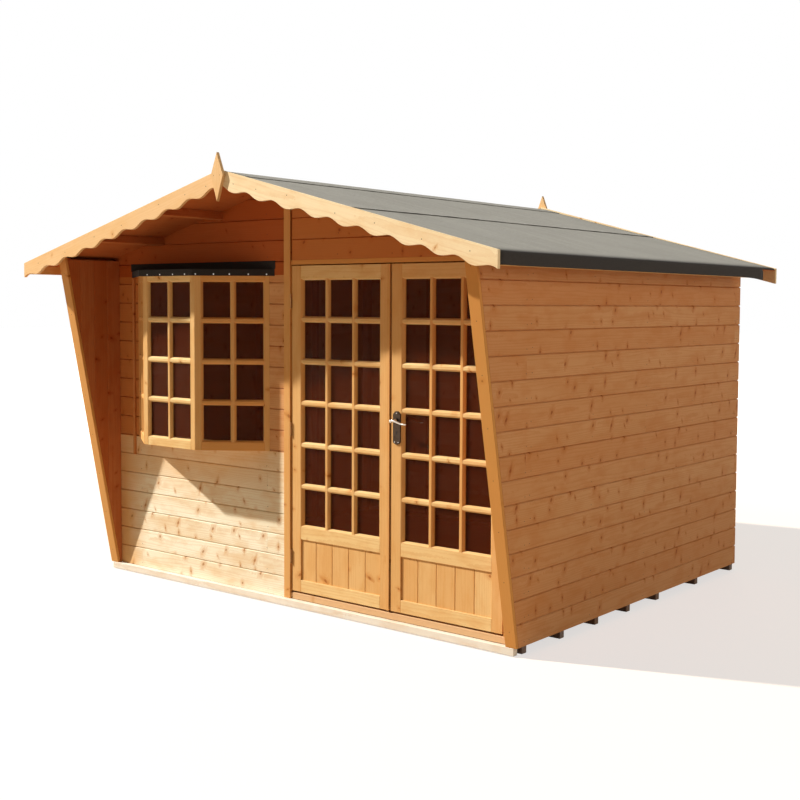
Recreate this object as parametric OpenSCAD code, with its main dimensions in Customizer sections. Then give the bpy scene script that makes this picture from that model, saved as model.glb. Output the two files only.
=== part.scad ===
/* [House] */
// Width over the outer faces of the side walls
wall_w = 3000; // [2960:10:4200]
// Depth from the face of the front wall to the face of the back wall
wall_d = 2400; // [1900:10:3600]
// Height of the side walls, from the top of the bearers to the roof boards
wall_h = 1854; // [1830:1:2400]
// Pitch of the roof, in degrees
roof_pitch = 14.5; // [10:0.5:30]

/* [Floor] */
// Height of a floor bearer
bearer_h = 43; // [35:1:75]
// Width of a floor bearer
bearer_w = 38; // [30:1:60]
// Set-back of a bearer's end from the face of the side wall
bearer_inset = 16; // [12:1:60]
// Distance from the front wall's face to the bearer under the joint of the two floor sections
floor_joint = 1385; // [1200:5:1600]
// Set-back of the first bearer from the front wall's face
bearer_front = 40; // [0:5:80]
// Number of bearer spaces under the front floor section
front_spaces = 4; // [3:1:7]
// Number of bearer spaces under the back floor section
back_spaces = 2; // [2:1:6]
// Thickness of the floor boards
floor_t = 12; // [10:1:25]
// Height of the front edge board's foot over the ground
edge_board_rise = 5; // [2:1:15]

/* [Walls] */
// Thickness of the wall cladding
clad_t = 12; // [8:1:20]
// Depth of the wall framing, square to the wall
frame_d = 44; // [38:1:70]
// Width of a framing stud or rail on the face of the wall
frame_w = 28; // [22:1:44]
// Number of studs in a side wall
side_studs = 5; // [3:1:8]
// Number of studs in the back wall
back_studs = 6; // [4:1:9]
// Gap between framing pieces, so that each stays its own piece
frame_gap = 0.2; // [0.1:0.1:1]
// Gap between the layers of the roof, and under them
skin_gap = 0.2; // [0.1:0.1:1]

/* [Porch wings] */
// Reach of a wing in front of the front wall, at its foot
wing_foot = 31; // [20:1:80]
// Forward slope of a wing's front edge, in degrees from upright
wing_slope = 11; // [5:0.5:15]
// Thickness of a wing's inner lining
lining_t = 8; // [6:1:12]
// Gap between the top of the lining and the roof boards
lining_gap = 10; // [2:1:20]
// Thickness of the cover board on a wing's front edge
wing_cover_t = 18; // [10:1:25]

/* [Roof] */
// Reach of the roof past a side wall, to the outer face of the eave board
eave_reach = 186; // [120:1:260]
// Reach of the roof past the front wall, to the face of the front bargeboards
front_reach = 493; // [470:1:800]
// Reach of the roof past the back wall, to the face of the back bargeboards
back_reach = 91; // [60:1:200]
// Thickness of the roof boards
roof_t = 12; // [9:1:20]
// Thickness of the roofing felt
felt_t = 2.5; // [2:0.5:4]
// Drop of the felt over the eave, from the roof's surface
felt_drop = 62; // [50:1:90]
// Thickness of the eave board
eave_t = 12; // [9:1:20]
// Distance that the eave boards and the felt's folds stop short of the back bargeboards
eave_short = 185; // [0:5:300]
// Distance from the ridge to the lap of the two felt sheets, across the house
lap_x = 950; // [700:10:1100]
// Reach of the ridge capping felt down each slope
cap_reach = 150; // [80:1:250]
// Width of a purlin
purlin_w = 28; // [22:1:45]
// Depth of a purlin
purlin_h = 45; // [38:1:70]
// Distance of the upper purlins from the ridge, across the house
purlin_in = 540; // [400:5:640]
// Distance of the lower purlins from the ridge, across the house
purlin_out = 1040; // [900:5:1200]
// Clearance round a purlin where it passes through a gable
purlin_fit = 0.3; // [0.1:0.1:3]

/* [Bargeboards] */
// Thickness of a bargeboard
barge_t = 18; // [12:1:25]
// Mean depth of a bargeboard, square to its top edge
barge_h = 84; // [70:1:120]
// Height of a scallop, from its crest to the foot of its lobe
scallop_h = 22; // [10:1:34]
// Length of one scallop along the board
scallop_len = 184; // [120:1:260]
// Distance from the board's end to its last scallop crest
scallop_end = 52; // [20:1:100]
// Height of a front bargeboard's top edge over the felt
barge_proud = 4; // [0:1:15]
// Height of a back bargeboard's top edge over the front one's
back_barge_lift = 7; // [0:1:20]
// Reach of a bargeboard past the eave felt
barge_reach = 4; // [2:1:20]
// Thickness of a finial
finial_t = 18; // [10:1:20]
// Width of a finial
finial_w = 90; // [60:1:120]
// Height of a finial's point over its shoulders
finial_up = 116; // [80:1:160]
// Length of a finial below its shoulders
finial_down = 130; // [60:1:160]
// Height of a finial's shoulders below the bargeboards' apex
finial_seat = 30; // [10:1:60]

/* [Bay window] */
// Distance from the middle of the house to the middle of the bay
bay_x = 703; // [690:1:750]
// Width of the bay where it meets the wall
bay_w = 1115; // [900:5:1140]
// Width of the bay's front face
bay_front_w = 434; // [380:2:520]
// Reach of the bay in front of the wall
bay_d = 237; // [180:1:260]
// Height of the foot of the bay over the bearers
bay_foot = 788; // [500:1:900]
// Height of a bay sash
sash_h = 959; // [700:1:960]
// Thickness of a bay sash
sash_t = 28; // [24:1:34]
// Width of a sash stile at a corner of the bay
sash_stile = 35; // [30:1:60]
// Width of a sash stile at the wall
wall_stile = 28; // [26:1:60]
// Height of a sash's top rail
sash_top = 28; // [24:1:60]
// Height of a sash's bottom rail
sash_bottom = 45; // [40:1:80]
// Thickness of the bay's window board
bay_board_t = 18; // [12:1:25]
// Thickness of the bay's head
bay_head_t = 30; // [20:1:40]
// Reach of the bay's head past the sashes
bay_head_lip = 20; // [8:1:24]
// Depth of the felt skirt round the bay's head
skirt_h = 37; // [32:1:60]
// Height of the felt upstand on the wall over the bay
upstand_h = 45; // [30:1:70]
// Reach of the felt upstand past each end of the bay
upstand_side = 44; // [42:1:80]
// Further reach of the felt upstand past the bay on the left
upstand_left = 18; // [0:1:40]
// Thickness of the bay's glass
sash_glass_t = 3; // [2:1:6]

/* [Doors] */
// Width of one door
door_w = 683.5; // [560:0.5:690]
// Height of a door
door_h = 1750; // [1400:1:1760]
// Thickness of a door
door_t = 34; // [28:1:44]
// Height of the doors' foot over the bearers
door_foot = 45; // [44:1:60]
// Gap between a door and its jamb or head
door_gap = 6; // [5:0.5:10]
// Gap between the two doors where they meet
meeting_gap = 7.5; // [7.5:0.5:12]
// Width of a door stile
stile_w = 64; // [60:1:90]
// Height of a door's top rail
top_rail = 67; // [50:1:90]
// Height of a door's middle rail
mid_rail = 69; // [50:1:120]
// Height of a door's bottom rail
bottom_rail = 65; // [50:1:120]
// Height of the foot of the glass over the door's foot
glass_foot = 355; // [250:1:600]
// Thickness of a door's boarded lower panel
panel_t = 12; // [8:1:20]
// Set-back of the boarded panel from a door's face
panel_set = 8; // [4:1:14]
// Thickness of a door's glass
door_glass_t = 4; // [3:1:6]
// Set-back of the glass from a door's or a sash's face
glass_set = 18; // [10:1:19]
// Width of the left jamb
jamb_w = 24.5; // [24:0.5:60]
// Height of the sill board
sill_h = 23; // [18:1:26]
// Height of the plain head over the doors
head_h = 24; // [16:1:40]
// Width of the strip over the doors' meeting edge
meeting_w = 18; // [12:1:30]
// Thickness of the strip over the doors' meeting edge
meeting_t = 6; // [4:1:10]

/* [Cover strips] */
// Distance of the joint of the front wall's two panels to the right of the middle
joint_x = -8; // [-30:1:12]
// Width of the strip over the joint of the front wall's two panels
strip_w = 46; // [36:1:46]
// Thickness of the strip over the joint of the front wall's two panels
strip_t = 8; // [6:1:24]
// Gap at the joint of the front wall's two panels
panel_joint = 2; // [1:1:4]
// Width of the strip on the left of the bay
bay_strip_w = 18; // [12:1:24]
// Thickness of the strip on the left of the bay
bay_strip_t = 12; // [8:1:20]
// Gap between the bay and the strip on its left
bay_strip_gap = 26; // [22:1:40]
// Reach of the left strip below the foot of the bay
bay_strip_down = 108; // [0:1:200]

/* [Hinges and handle] */
// Radius of a hinge knuckle
knuckle_r = 4.5; // [4:0.5:5]
// Distance of the hinge line in front of the doors
hinge_out = 6; // [6:0.5:8]
// Height of a hinge
hinge_h = 75; // [60:5:120]
// Thickness of a hinge leaf
leaf_t = 2; // [1.5:0.5:2.5]
// Depth of a hinge leaf
leaf_d = 26; // [20:1:30]
// Distance of the top and bottom hinges from the door's ends
hinge_end = 150; // [100:5:300]
// Height of the handle's spindle over the door's foot
spindle_z = 970; // [800:1:1100]
// Distance from the door's meeting edge to the spindle
spindle_x = 39; // [28:1:39]
// Width of a lock plate
plate_w = 48; // [40:1:48]
// Height of a lock plate
plate_h = 167; // [140:1:220]
// Height of the lock plate's top over the spindle
plate_top = 46; // [40:1:70]
// Thickness of a lock plate
plate_t = 7; // [5:1:9]
// Length of the lever, from the spindle to its tip
lever_len = 102; // [90:1:130]
// Reach of the lever's neck from the lock plate
neck_len = 52; // [28:1:60]
// Radius of the lever's neck
neck_r = 8; // [7:0.5:9]
// Clearance round the lever's neck
neck_fit = 0.1; // [0.05:0.05:0.5]

/* [Hidden] */
$fn = 48;

half_w = wall_w / 2;
inner_w = half_w - clad_t;
lining_x = half_w - clad_t - frame_d - lining_t;
wall_top = bearer_h + wall_h;
floor_z = bearer_h + floor_t;
frame_y = clad_t + frame_d;
rail_z = floor_z + frame_w;
mid_y = (wall_d + back_reach - front_reach) / 2;
rise = tan(roof_pitch);
under_z = wall_top + half_w * rise;
boards_z = under_z + skin_gap;
boards_dz = roof_t / cos(roof_pitch);
felt_z = boards_z + boards_dz + skin_gap;
felt_dz = felt_t / cos(roof_pitch);
felt_top_z = felt_z + felt_dz;
cap_z = felt_top_z + skin_gap;
eave_x = half_w + eave_reach;
felt_x = eave_x + skin_gap + felt_t;
drop_z = felt_top_z - felt_x * rise - felt_drop;
roof_y0 = -front_reach + barge_t;
roof_y1 = wall_d + back_reach - barge_t;
fold_y1 = roof_y1 - eave_short;
barge_x = felt_x + barge_reach;
barge_z = felt_top_z + barge_proud;

bay_foot_z = bearer_h + bay_foot;
bay_head_z = bay_foot_z + sash_h;
bay_out = [[-bay_x - bay_w / 2, 0], [-bay_x - bay_front_w / 2, -bay_d],
    [-bay_x + bay_front_w / 2, -bay_d], [-bay_x + bay_w / 2, 0]];

door_z = bearer_h + door_foot;
door_top = door_z + door_h;
head_z = door_top + door_gap;
clad_over_z = head_z + head_h;
frame_x = joint_x + panel_joint / 2;
jamb_x = frame_x + jamb_w;
left_door_x = jamb_x + door_gap;
right_door_x = left_door_x + door_w + meeting_gap;
right_jamb_x = right_door_x + door_w + door_gap;
left_axis_x = left_door_x - door_gap / 2;
right_axis_x = right_jamb_x - door_gap / 2;
bore_r = neck_r + neck_fit;
spindle = [right_door_x + spindle_x, 0, door_z + spindle_z];

wing_trim = wing_cover_t / cos(wing_slope);
bay_hole = [bay_out[0][0] + wall_stile / along(0)[0], bay_out[3][0] - wall_stile / along(2)[0]];
panel_edge = joint_x - panel_joint / 2;

hinge_zs = [door_z + hinge_end, door_z + (door_h - hinge_h) / 2, door_top - hinge_end - hinge_h];
knuckle_h = hinge_h / 3;
plate_corner = 8;
keyhole_z = -60;
keyhole_r = 4.5;
lever_t = 9;
lever_root_r = 11;
lever_tip_r = 6.5;

// Height of the roof boards' underside at a distance x from the ridge
function under(x) = under_z - abs(x) * rise;

// Corner of the bay's plan at point i, set in from the outer face by t
function along(i) = (bay_out[i + 1] - bay_out[i]) / norm(bay_out[i + 1] - bay_out[i]);
function inward(i) = [-along(i)[1], along(i)[0]];
function bay_corner(i, t) =
    i == 0 ? [bay_out[0][0] + t / inward(0)[0], 0] :
    i == 3 ? [bay_out[3][0] + t / inward(2)[0], 0] :
    bay_out[i] + t * (inward(i - 1) + inward(i)) / (1 + inward(i - 1) * inward(i));
function bay_line(t) = [for (i = [0:3]) bay_corner(i, t)];

// House coordinates have y = 0 on the face of the front wall; the origin is the middle of the plan
module house() {
    translate([0, -mid_y, 0]) children();
}

module box(x, y, z) {
    translate([x[0], y[0], z[0]]) cube([x[1] - x[0], y[1] - y[0], z[1] - z[0]]);
}

module both_sides() {
    children();
    mirror([1, 0, 0]) children();
}

// Upright slab in the plane of the front wall, from its outline in x and z
module upright(y) {
    translate([0, y[1], 0]) rotate([90, 0, 0]) linear_extrude(y[1] - y[0]) children();
}

// Gable outline from z0 up to the roof, between two distances from the middle
module gable_outline(x, z0) {
    polygon([[x[0], z0], [x[1], z0], [x[1], under(x[1])],
        if (x[0] < 0 && x[1] > 0) [0, under_z], [x[0], under(x[0])]]);
}

// Sloping roof layer on the right slope, between two distances from the ridge and two heights
module slope_layer(x, z, y) {
    upright(y) polygon([[x[0], z[0] - x[0] * rise], [x[1], z[0] - x[1] * rise],
        [x[1], z[1] - x[1] * rise], [x[0], z[1] - x[0] * rise]]);
}

module purlin_set(fit) {
    both_sides()
        for (x = [purlin_in, purlin_out])
            translate([x, 0, under(x)]) rotate([0, roof_pitch, 0])
                box([-purlin_w / 2 - fit, purlin_w / 2 + fit], [roof_y0, roof_y1], [-purlin_h - fit, 0]);
}

module floor_bearers() {
    front_pitch = (floor_joint - bearer_front) / front_spaces;
    back_pitch = (wall_d - bearer_w - floor_joint) / back_spaces;
    ys = concat([for (i = [0:front_spaces - 1]) bearer_front + i * front_pitch],
        [for (i = [0:back_spaces]) floor_joint + i * back_pitch]);
    color("#8b7357") house()
        for (y = ys)
            box([-half_w + bearer_inset, half_w - bearer_inset], [y, y + bearer_w], [0, bearer_h]);
}

module floor_boards() {
    color("#b98a5a") house()
        box([-inner_w, inner_w], [clad_t, wall_d - clad_t], [bearer_h, floor_z]);
}

// Wing edge: distance in front of the front wall at height z
function wing_y(z) = -wing_foot - (z - bearer_h) * tan(wing_slope);

module side_outline(back, top, trim) {
    polygon([[wing_y(bearer_h) + trim, bearer_h], [back, bearer_h], [back, top], [wing_y(top) + trim, top]]);
}

module front_edge_board() {
    color("#e8c898") house()
        box([-half_w + bearer_inset, half_w - bearer_inset], [-wing_foot, 0], [edge_board_rise, bearer_h]);
}

// Slab in the plane of a side wall, from its outline in y and z
module side_slab(x) {
    translate([x[0], 0, 0]) rotate([90, 0, 90]) linear_extrude(x[1] - x[0]) children();
}

module right_side_wall() {
    color("#c98f52") house()
        side_slab([inner_w, half_w]) side_outline(wall_d, wall_top, wing_trim);
}

module left_side_wall() {
    mirror([1, 0, 0]) right_side_wall();
}

module wing_linings() {
    color("#b5642a") house()
        both_sides()
            side_slab([lining_x, lining_x + lining_t]) side_outline(0, wall_top - lining_gap, wing_trim);
}

module wing_post_pair() {
    post_cut = wing_trim + frame_w / cos(wing_slope);
    both_sides()
        side_slab([lining_x + lining_t, inner_w])
            polygon([[wing_y(bearer_h) + wing_trim, bearer_h],
                [min(wing_y(bearer_h) + post_cut, 0), bearer_h],
                [min(wing_y(wall_top) + post_cut, 0), wall_top],
                [wing_y(wall_top) + wing_trim, wall_top]]);
}

module wing_covers() {
    color("#dba35f") house()
        both_sides()
            side_slab([lining_x, half_w])
                polygon([[wing_y(bearer_h), bearer_h], [wing_y(bearer_h) + wing_trim, bearer_h],
                    [wing_y(wall_top) + wing_trim, wall_top], [wing_y(wall_top), wall_top]]);
}

module back_wall() {
    color("#c98f52") house()
        difference() {
            upright([wall_d - clad_t, wall_d]) gable_outline([-inner_w, inner_w], bearer_h);
            purlin_set(purlin_fit);
        }
}

module side_framing() {
    y0 = frame_y + frame_gap;
    y1 = wall_d - frame_y - frame_gap;
    pitch = (y1 - y0 - frame_w) / (side_studs - 1);
    both_sides() {
        box([inner_w - frame_d, inner_w], [y0, y1], [floor_z, rail_z]);
        box([inner_w - frame_d, inner_w], [y0, y1], [wall_top - frame_w, wall_top]);
        for (i = [0:side_studs - 1])
            box([inner_w - frame_d, inner_w], [y0 + i * pitch, y0 + i * pitch + frame_w],
                [rail_z + frame_gap, wall_top - frame_w - frame_gap]);
    }
}

module back_framing() {
    y = [wall_d - frame_y, wall_d - clad_t];
    pitch = (2 * inner_w - frame_w) / (back_studs - 1);
    box([-inner_w, inner_w], y, [floor_z, rail_z]);
    box([-inner_w, inner_w], y, [wall_top - frame_w, wall_top]);
    for (i = [0:back_studs - 1])
        box([-inner_w + i * pitch, -inner_w + i * pitch + frame_w], y,
            [rail_z + frame_gap, wall_top - frame_w - frame_gap]);
    box([-frame_w / 2, frame_w / 2], y, [wall_top + frame_gap, under(frame_w / 2)]);
}

module wall_framing() {
    color("#d9a066") house() {
        side_framing();
        back_framing();
        wing_post_pair();
    }
}

module wall_below_bay() {
    color("#d99b57") house()
        box([-inner_w, panel_edge], [0, clad_t], [bearer_h, bay_foot_z]);
}

module wall_beside_bay() {
    color("#d99b57") house() {
        box([-inner_w, bay_hole[0]], [0, clad_t], [bay_foot_z, bay_head_z]);
        box([bay_hole[1], panel_edge], [0, clad_t], [bay_foot_z, bay_head_z]);
    }
}

module wall_over_bay() {
    color("#b5642a") house()
        difference() {
            upright([0, clad_t]) gable_outline([-inner_w, panel_edge], bay_head_z);
            purlin_set(purlin_fit);
        }
}

module wall_over_doors() {
    color("#b5642a") house()
        difference() {
            upright([0, clad_t]) gable_outline([frame_x, inner_w], clad_over_z);
            purlin_set(purlin_fit);
        }
}

module bay_panel_framing() {
    y = [clad_t, frame_y];
    stud_z = rail_z + frame_gap;
    color("#d9a066") house() {
        box([-inner_w, panel_edge], y, [floor_z, rail_z]);
        for (x = [-inner_w, bay_hole[0] - frame_w, bay_hole[1], panel_edge - frame_w])
            box([x, x + frame_w], y, [stud_z, wall_top - frame_w - frame_gap]);
        box([-inner_w, panel_edge], y, [wall_top - frame_w, wall_top]);
        box([bay_hole[0] + frame_gap, bay_hole[1] - frame_gap], y, [bay_foot_z - frame_w, bay_foot_z]);
        box([bay_hole[0] + frame_gap, bay_hole[1] - frame_gap], y, [bay_head_z, bay_head_z + frame_w]);
    }
}

module door_frame() {
    color("#c98f52") house() {
        box([frame_x, jamb_x], [0, frame_y], [floor_z + sill_h, head_z - frame_gap]);
        box([right_jamb_x, inner_w], [0, frame_y], [floor_z + sill_h, head_z - frame_gap]);
        box([frame_x, inner_w], [0, frame_y], [head_z, clad_over_z]);
        box([frame_x, inner_w], [clad_t, frame_y], [clad_over_z, clad_over_z + frame_w]);
    }
}

module door_sill() {
    color("#e0b070") house() {
        box([frame_x, inner_w], [0, frame_y], [floor_z, floor_z + sill_h]);
        box([frame_x, inner_w], [0, clad_t], [bearer_h, floor_z]);
    }
}

module cover_strips() {
    edge = joint_x + strip_w / 2;
    left = bay_out[0][0] - bay_strip_gap;
    top = bay_head_z + bay_head_t + felt_t - skirt_h - frame_gap;
    color("#dba35f") house() {
        upright([-strip_t, 0]) gable_outline([edge - strip_w, edge], bearer_h);
        box([left - bay_strip_w, left], [-bay_strip_t, 0], [bay_foot_z - bay_strip_down, top]);
    }
}

module bay_board() {
    hole = bay_line(sash_t);
    color("#d9a066") house()
        translate([0, 0, bay_foot_z]) linear_extrude(bay_board_t)
            polygon(concat(hole, [[bay_hole[1], 0], [bay_hole[1], frame_y],
                [bay_hole[0], frame_y], [bay_hole[0], 0]]));
}

module bay_head() {
    color("#c98f52") house()
        translate([0, 0, bay_head_z]) linear_extrude(bay_head_t)
            polygon(bay_line(-bay_head_lip));
}

// Plan of the felt flap along face i of the bay's head
module flap(i) {
    face = bay_line(-bay_head_lip - frame_gap);
    skin = bay_line(-bay_head_lip - felt_t);
    ease = frame_gap * along(i);
    polygon([skin[i] + ease, skin[i + 1] - ease, face[i + 1] - ease, face[i] + ease]);
}

module bay_flashing() {
    top = bay_head_z + bay_head_t;
    color("#2b2b2b") house() {
        for (i = [0:2])
            translate([0, 0, top + felt_t - skirt_h]) linear_extrude(skirt_h) flap(i);
        translate([0, 0, top]) linear_extrude(felt_t)
            polygon(bay_line(-bay_head_lip));
        box([bay_out[0][0] - upstand_side - upstand_left, bay_out[3][0] + upstand_side], [-felt_t, 0],
            [top + felt_t + frame_gap, top + felt_t + upstand_h]);
    }
}

// Sash on face i of the bay: mitred ends, one glazed opening
module sash(i, left_stile, right_stile) {
    corners = [bay_corner(i, 0), bay_corner(i + 1, 0), bay_corner(i + 1, sash_t), bay_corner(i, sash_t)];
    length = norm(bay_out[i + 1] - bay_out[i]);
    turn = atan2(along(i)[1], along(i)[0]);
    house()
        difference() {
            translate([0, 0, bay_foot_z]) linear_extrude(sash_h) polygon(corners);
            translate([bay_out[i][0], bay_out[i][1], bay_foot_z]) rotate([0, 0, turn])
                box([left_stile, length - right_stile], [-1, sash_t + 1],
                    [sash_bottom, sash_h - sash_top]);
        }
}

module pane(i, left_stile, right_stile) {
    length = norm(bay_out[i + 1] - bay_out[i]);
    turn = atan2(along(i)[1], along(i)[0]);
    translate([bay_out[i][0], bay_out[i][1], bay_foot_z]) rotate([0, 0, turn])
        box([left_stile, length - right_stile], [glass_set, glass_set + sash_glass_t],
            [sash_bottom, sash_h - sash_top]);
}

module bay_left_sash() {
    color("#dba35f") sash(0, wall_stile, sash_stile);
}

module bay_front_sash() {
    color("#dba35f") sash(1, sash_stile, sash_stile);
}

module bay_right_sash() {
    color("#dba35f") sash(2, sash_stile, wall_stile);
}

module bay_glass() {
    color("#4a2a18") house() {
        pane(0, wall_stile, sash_stile);
        pane(1, sash_stile, sash_stile);
        pane(2, sash_stile, wall_stile);
    }
}

module purlins() {
    color("#a9622f") house() purlin_set(0);
}

module roof_boards() {
    color("#a9622f") house() {
        slope_layer([0, eave_x], [boards_z, boards_z + boards_dz], [roof_y0, roof_y1]);
        mirror([1, 0, 0])
            slope_layer([frame_gap, eave_x], [boards_z, boards_z + boards_dz], [roof_y0, roof_y1]);
    }
}

// Upper sheet, lower sheet and the sheet's fold over the eave
module right_roof_felt() {
    color("#96968e") house() {
        slope_layer([0, lap_x], [felt_z, felt_top_z], [roof_y0, roof_y1]);
        slope_layer([lap_x + skin_gap, felt_x], [felt_z, felt_top_z], [roof_y0, roof_y1]);
        upright([roof_y0, fold_y1])
            polygon([[eave_x + skin_gap, drop_z], [felt_x, drop_z],
                [felt_x, felt_z - skin_gap - felt_x * rise],
                [eave_x + skin_gap, felt_z - skin_gap - (eave_x + skin_gap) * rise]]);
    }
}

module left_roof_felt() {
    mirror([1, 0, 0]) right_roof_felt();
}

module ridge_cap() {
    color("#8c8c84") house()
        both_sides()
            slope_layer([skin_gap, cap_reach], [cap_z, cap_z + felt_dz], [roof_y0, roof_y1]);
}

module eave_boards() {
    color("#c98f52") house()
        both_sides()
            upright([roof_y0, fold_y1])
                polygon([[eave_x - eave_t, drop_z], [eave_x, drop_z], [eave_x, under(eave_x)],
                    [eave_x - eave_t, under(eave_x - eave_t)]]);
}

// Depth of a scalloped board at a distance s along it from its end
function scallop(s) = barge_h - scallop_h / 2 * cos(360 * (s - scallop_end) / scallop_len);

// Point of the right bargeboard: s along its top edge from the end, depth d square to the edge
function barge_point(s, d) =
    [barge_x - s * cos(roof_pitch) - d * sin(roof_pitch),
     barge_z - barge_x * rise + s * sin(roof_pitch) - d * cos(roof_pitch)];

// Right-hand bargeboard: plumb cuts at both ends, scalloped or plain lower edge
module bargeboard(scalloped) {
    length = barge_x / cos(roof_pitch);
    steps = ceil(10 * length / scallop_len);
    intersection() {
        polygon(concat([barge_point(-2 * barge_h, 0), barge_point(length + 2 * barge_h, 0)],
            [for (i = [steps + 1:-1:-2])
                let (s = i * length / steps)
                barge_point(s, scalloped ? scallop(s) : barge_h)]));
        translate([frame_gap / 2, 0]) square([barge_x, barge_z]);
    }
}

module front_bargeboards() {
    y = [-front_reach, -front_reach + barge_t];
    color("#f0c288") house() {
        upright(y) bargeboard(true);
        mirror([1, 0, 0]) upright(y) bargeboard(true);
    }
}

module back_bargeboards() {
    y = [wall_d + back_reach - barge_t, wall_d + back_reach];
    color("#e0b070") house()
        both_sides()
            upright(y) translate([0, back_barge_lift]) bargeboard(false);
}

module finial() {
    shoulder = barge_z - finial_seat;
    polygon([[0, shoulder - finial_down], [finial_w / 2, shoulder],
        [0, shoulder + finial_up], [-finial_w / 2, shoulder]]);
}

module finials() {
    color("#e0a868") house() {
        upright([-front_reach - finial_t, -front_reach]) finial();
        upright([wall_d + back_reach, wall_d + back_reach + finial_t]) finial();
    }
}

// Door as a frame of stiles and rails; x = 0 on its left edge and y = 0 on its face
module door_leaf() {
    difference() {
        box([0, door_w], [0, door_t], [0, door_h]);
        box([stile_w, door_w - stile_w], [-1, door_t + 1], [glass_foot, door_h - top_rail]);
        box([stile_w, door_w - stile_w], [-1, door_t + 1], [bottom_rail, glass_foot - mid_rail]);
    }
}

module door_pane() {
    box([stile_w, door_w - stile_w], [glass_set, glass_set + door_glass_t],
        [glass_foot, door_h - top_rail]);
}

module door_boards() {
    box([stile_w, door_w - stile_w], [panel_set, panel_set + panel_t],
        [bottom_rail, glass_foot - mid_rail]);
}

// Knuckle on the hinge line, part i of three from the bottom
module knuckle(i) {
    translate([0, -hinge_out, i * knuckle_h + (i == 0 ? 0 : frame_gap)])
        cylinder(h = knuckle_h - (i == 2 ? frame_gap : 2 * frame_gap), r = knuckle_r);
}

// Hinge parts with x = 0 on the hinge line; the door lies towards +x
module door_hinge_part() {
    for (z = hinge_zs)
        translate([0, 0, z]) {
            knuckle(0);
            knuckle(2);
            for (i = [0, 2])
                box([door_gap / 2 - leaf_t, door_gap / 2], [-hinge_out, leaf_d - hinge_out],
                    [i * knuckle_h + frame_gap, (i + 1) * knuckle_h - frame_gap]);
        }
}

module jamb_hinge_part() {
    for (z = hinge_zs)
        translate([0, 0, z]) {
            knuckle(1);
            box([-door_gap / 2, -door_gap / 2 + leaf_t], [-hinge_out, leaf_d - hinge_out],
                [knuckle_h + frame_gap, 2 * knuckle_h - frame_gap]);
        }
}

module jamb_hinge_leaves() {
    color("silver") house() {
        translate([left_axis_x, 0, 0]) jamb_hinge_part();
        translate([right_axis_x, 0, 0]) mirror([1, 0, 0]) jamb_hinge_part();
    }
}

module left_door() {
    color("#dba35f") house() translate([left_door_x, 0, door_z]) door_leaf();
}

module left_door_glass() {
    color("#4a2a18") house() translate([left_door_x, 0, door_z]) door_pane();
}

module left_door_panel() {
    color("#d9a066") house() translate([left_door_x, 0, door_z]) door_boards();
}

module left_door_hinges() {
    color("silver") house() translate([left_axis_x, 0, 0]) door_hinge_part();
}

module meeting_strip() {
    edge = left_door_x + door_w;
    color("#dba35f") house()
        box([edge - meeting_w, edge], [-meeting_t, 0], [door_z, door_top]);
}

module right_door() {
    color("#dba35f") house()
        difference() {
            translate([right_door_x, 0, door_z]) door_leaf();
            translate([0, -1, 0]) spindle_bore(door_t + 2);
        }
}

module right_door_glass() {
    color("#4a2a18") house() translate([right_door_x, 0, door_z]) door_pane();
}

module right_door_panel() {
    color("#d9a066") house() translate([right_door_x, 0, door_z]) door_boards();
}

module right_door_hinges() {
    color("silver") house() translate([right_axis_x, 0, 0]) mirror([1, 0, 0]) door_hinge_part();
}

// Rod along y from the door's face, on the spindle's line
module along_spindle(r, y) {
    translate([spindle[0], y[1], spindle[2]]) rotate([90, 0, 0]) cylinder(h = y[1] - y[0], r = r);
}

module spindle_bore(depth) {
    along_spindle(bore_r, [0, depth]);
}

module plate_outline() {
    w = plate_w / 2;
    top = plate_top;
    foot = plate_top - plate_h;
    difference() {
        union() {
            translate([-w, foot + plate_corner]) square([plate_w, plate_h - 2 * plate_corner]);
            translate([-w + plate_corner, foot]) square([plate_w - 2 * plate_corner, plate_h]);
            for (x = [-w + plate_corner, w - plate_corner])
                for (z = [foot + plate_corner, top - plate_corner])
                    translate([x, z]) circle(plate_corner);
        }
        circle(bore_r);
        translate([0, keyhole_z]) circle(keyhole_r);
        translate([-keyhole_r / 2, keyhole_z - 3 * keyhole_r]) square([keyhole_r, 3 * keyhole_r]);
    }
}

module lock_plates() {
    color("#c8c8c8") house()
        for (y = [0, door_t + plate_t])
            translate([spindle[0], y, spindle[2]]) rotate([90, 0, 0]) linear_extrude(plate_t)
                plate_outline();
}

module lever_arm() {
    reach = lever_len - lever_tip_r;
    circle(lever_root_r);
    translate([reach, 0]) circle(lever_tip_r);
    polygon([[0, -lever_root_r], [reach, -lever_tip_r], [reach, lever_tip_r], [0, lever_root_r]]);
}

// Both levers and their necks on one spindle
module lever_handle() {
    outer = -plate_t - neck_len;
    inner = door_t + plate_t + neck_len;
    color("#d0d0d0") house() {
        along_spindle(neck_r, [outer, inner]);
        for (y = [outer + lever_t, inner])
            translate([spindle[0], y, spindle[2]]) rotate([90, 0, 0]) linear_extrude(lever_t)
                lever_arm();
    }
}

floor_bearers();
floor_boards();
left_side_wall();
right_side_wall();
back_wall();
wall_framing();
wing_linings();
wing_covers();
front_edge_board();
wall_below_bay();
wall_beside_bay();
wall_over_bay();
wall_over_doors();
bay_panel_framing();
door_frame();
door_sill();
cover_strips();
bay_board();
bay_head();
bay_flashing();
bay_left_sash();
bay_front_sash();
bay_right_sash();
bay_glass();
purlins();
roof_boards();
left_roof_felt();
right_roof_felt();
ridge_cap();
eave_boards();
front_bargeboards();
back_bargeboards();
finials();
jamb_hinge_leaves();
left_door();
left_door_glass();
left_door_panel();
left_door_hinges();
meeting_strip();
right_door();
right_door_glass();
right_door_panel();
right_door_hinges();
lock_plates();
lever_handle();
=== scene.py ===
"""Timber summer house: boards, joinery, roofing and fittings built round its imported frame."""

import math
import random

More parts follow.
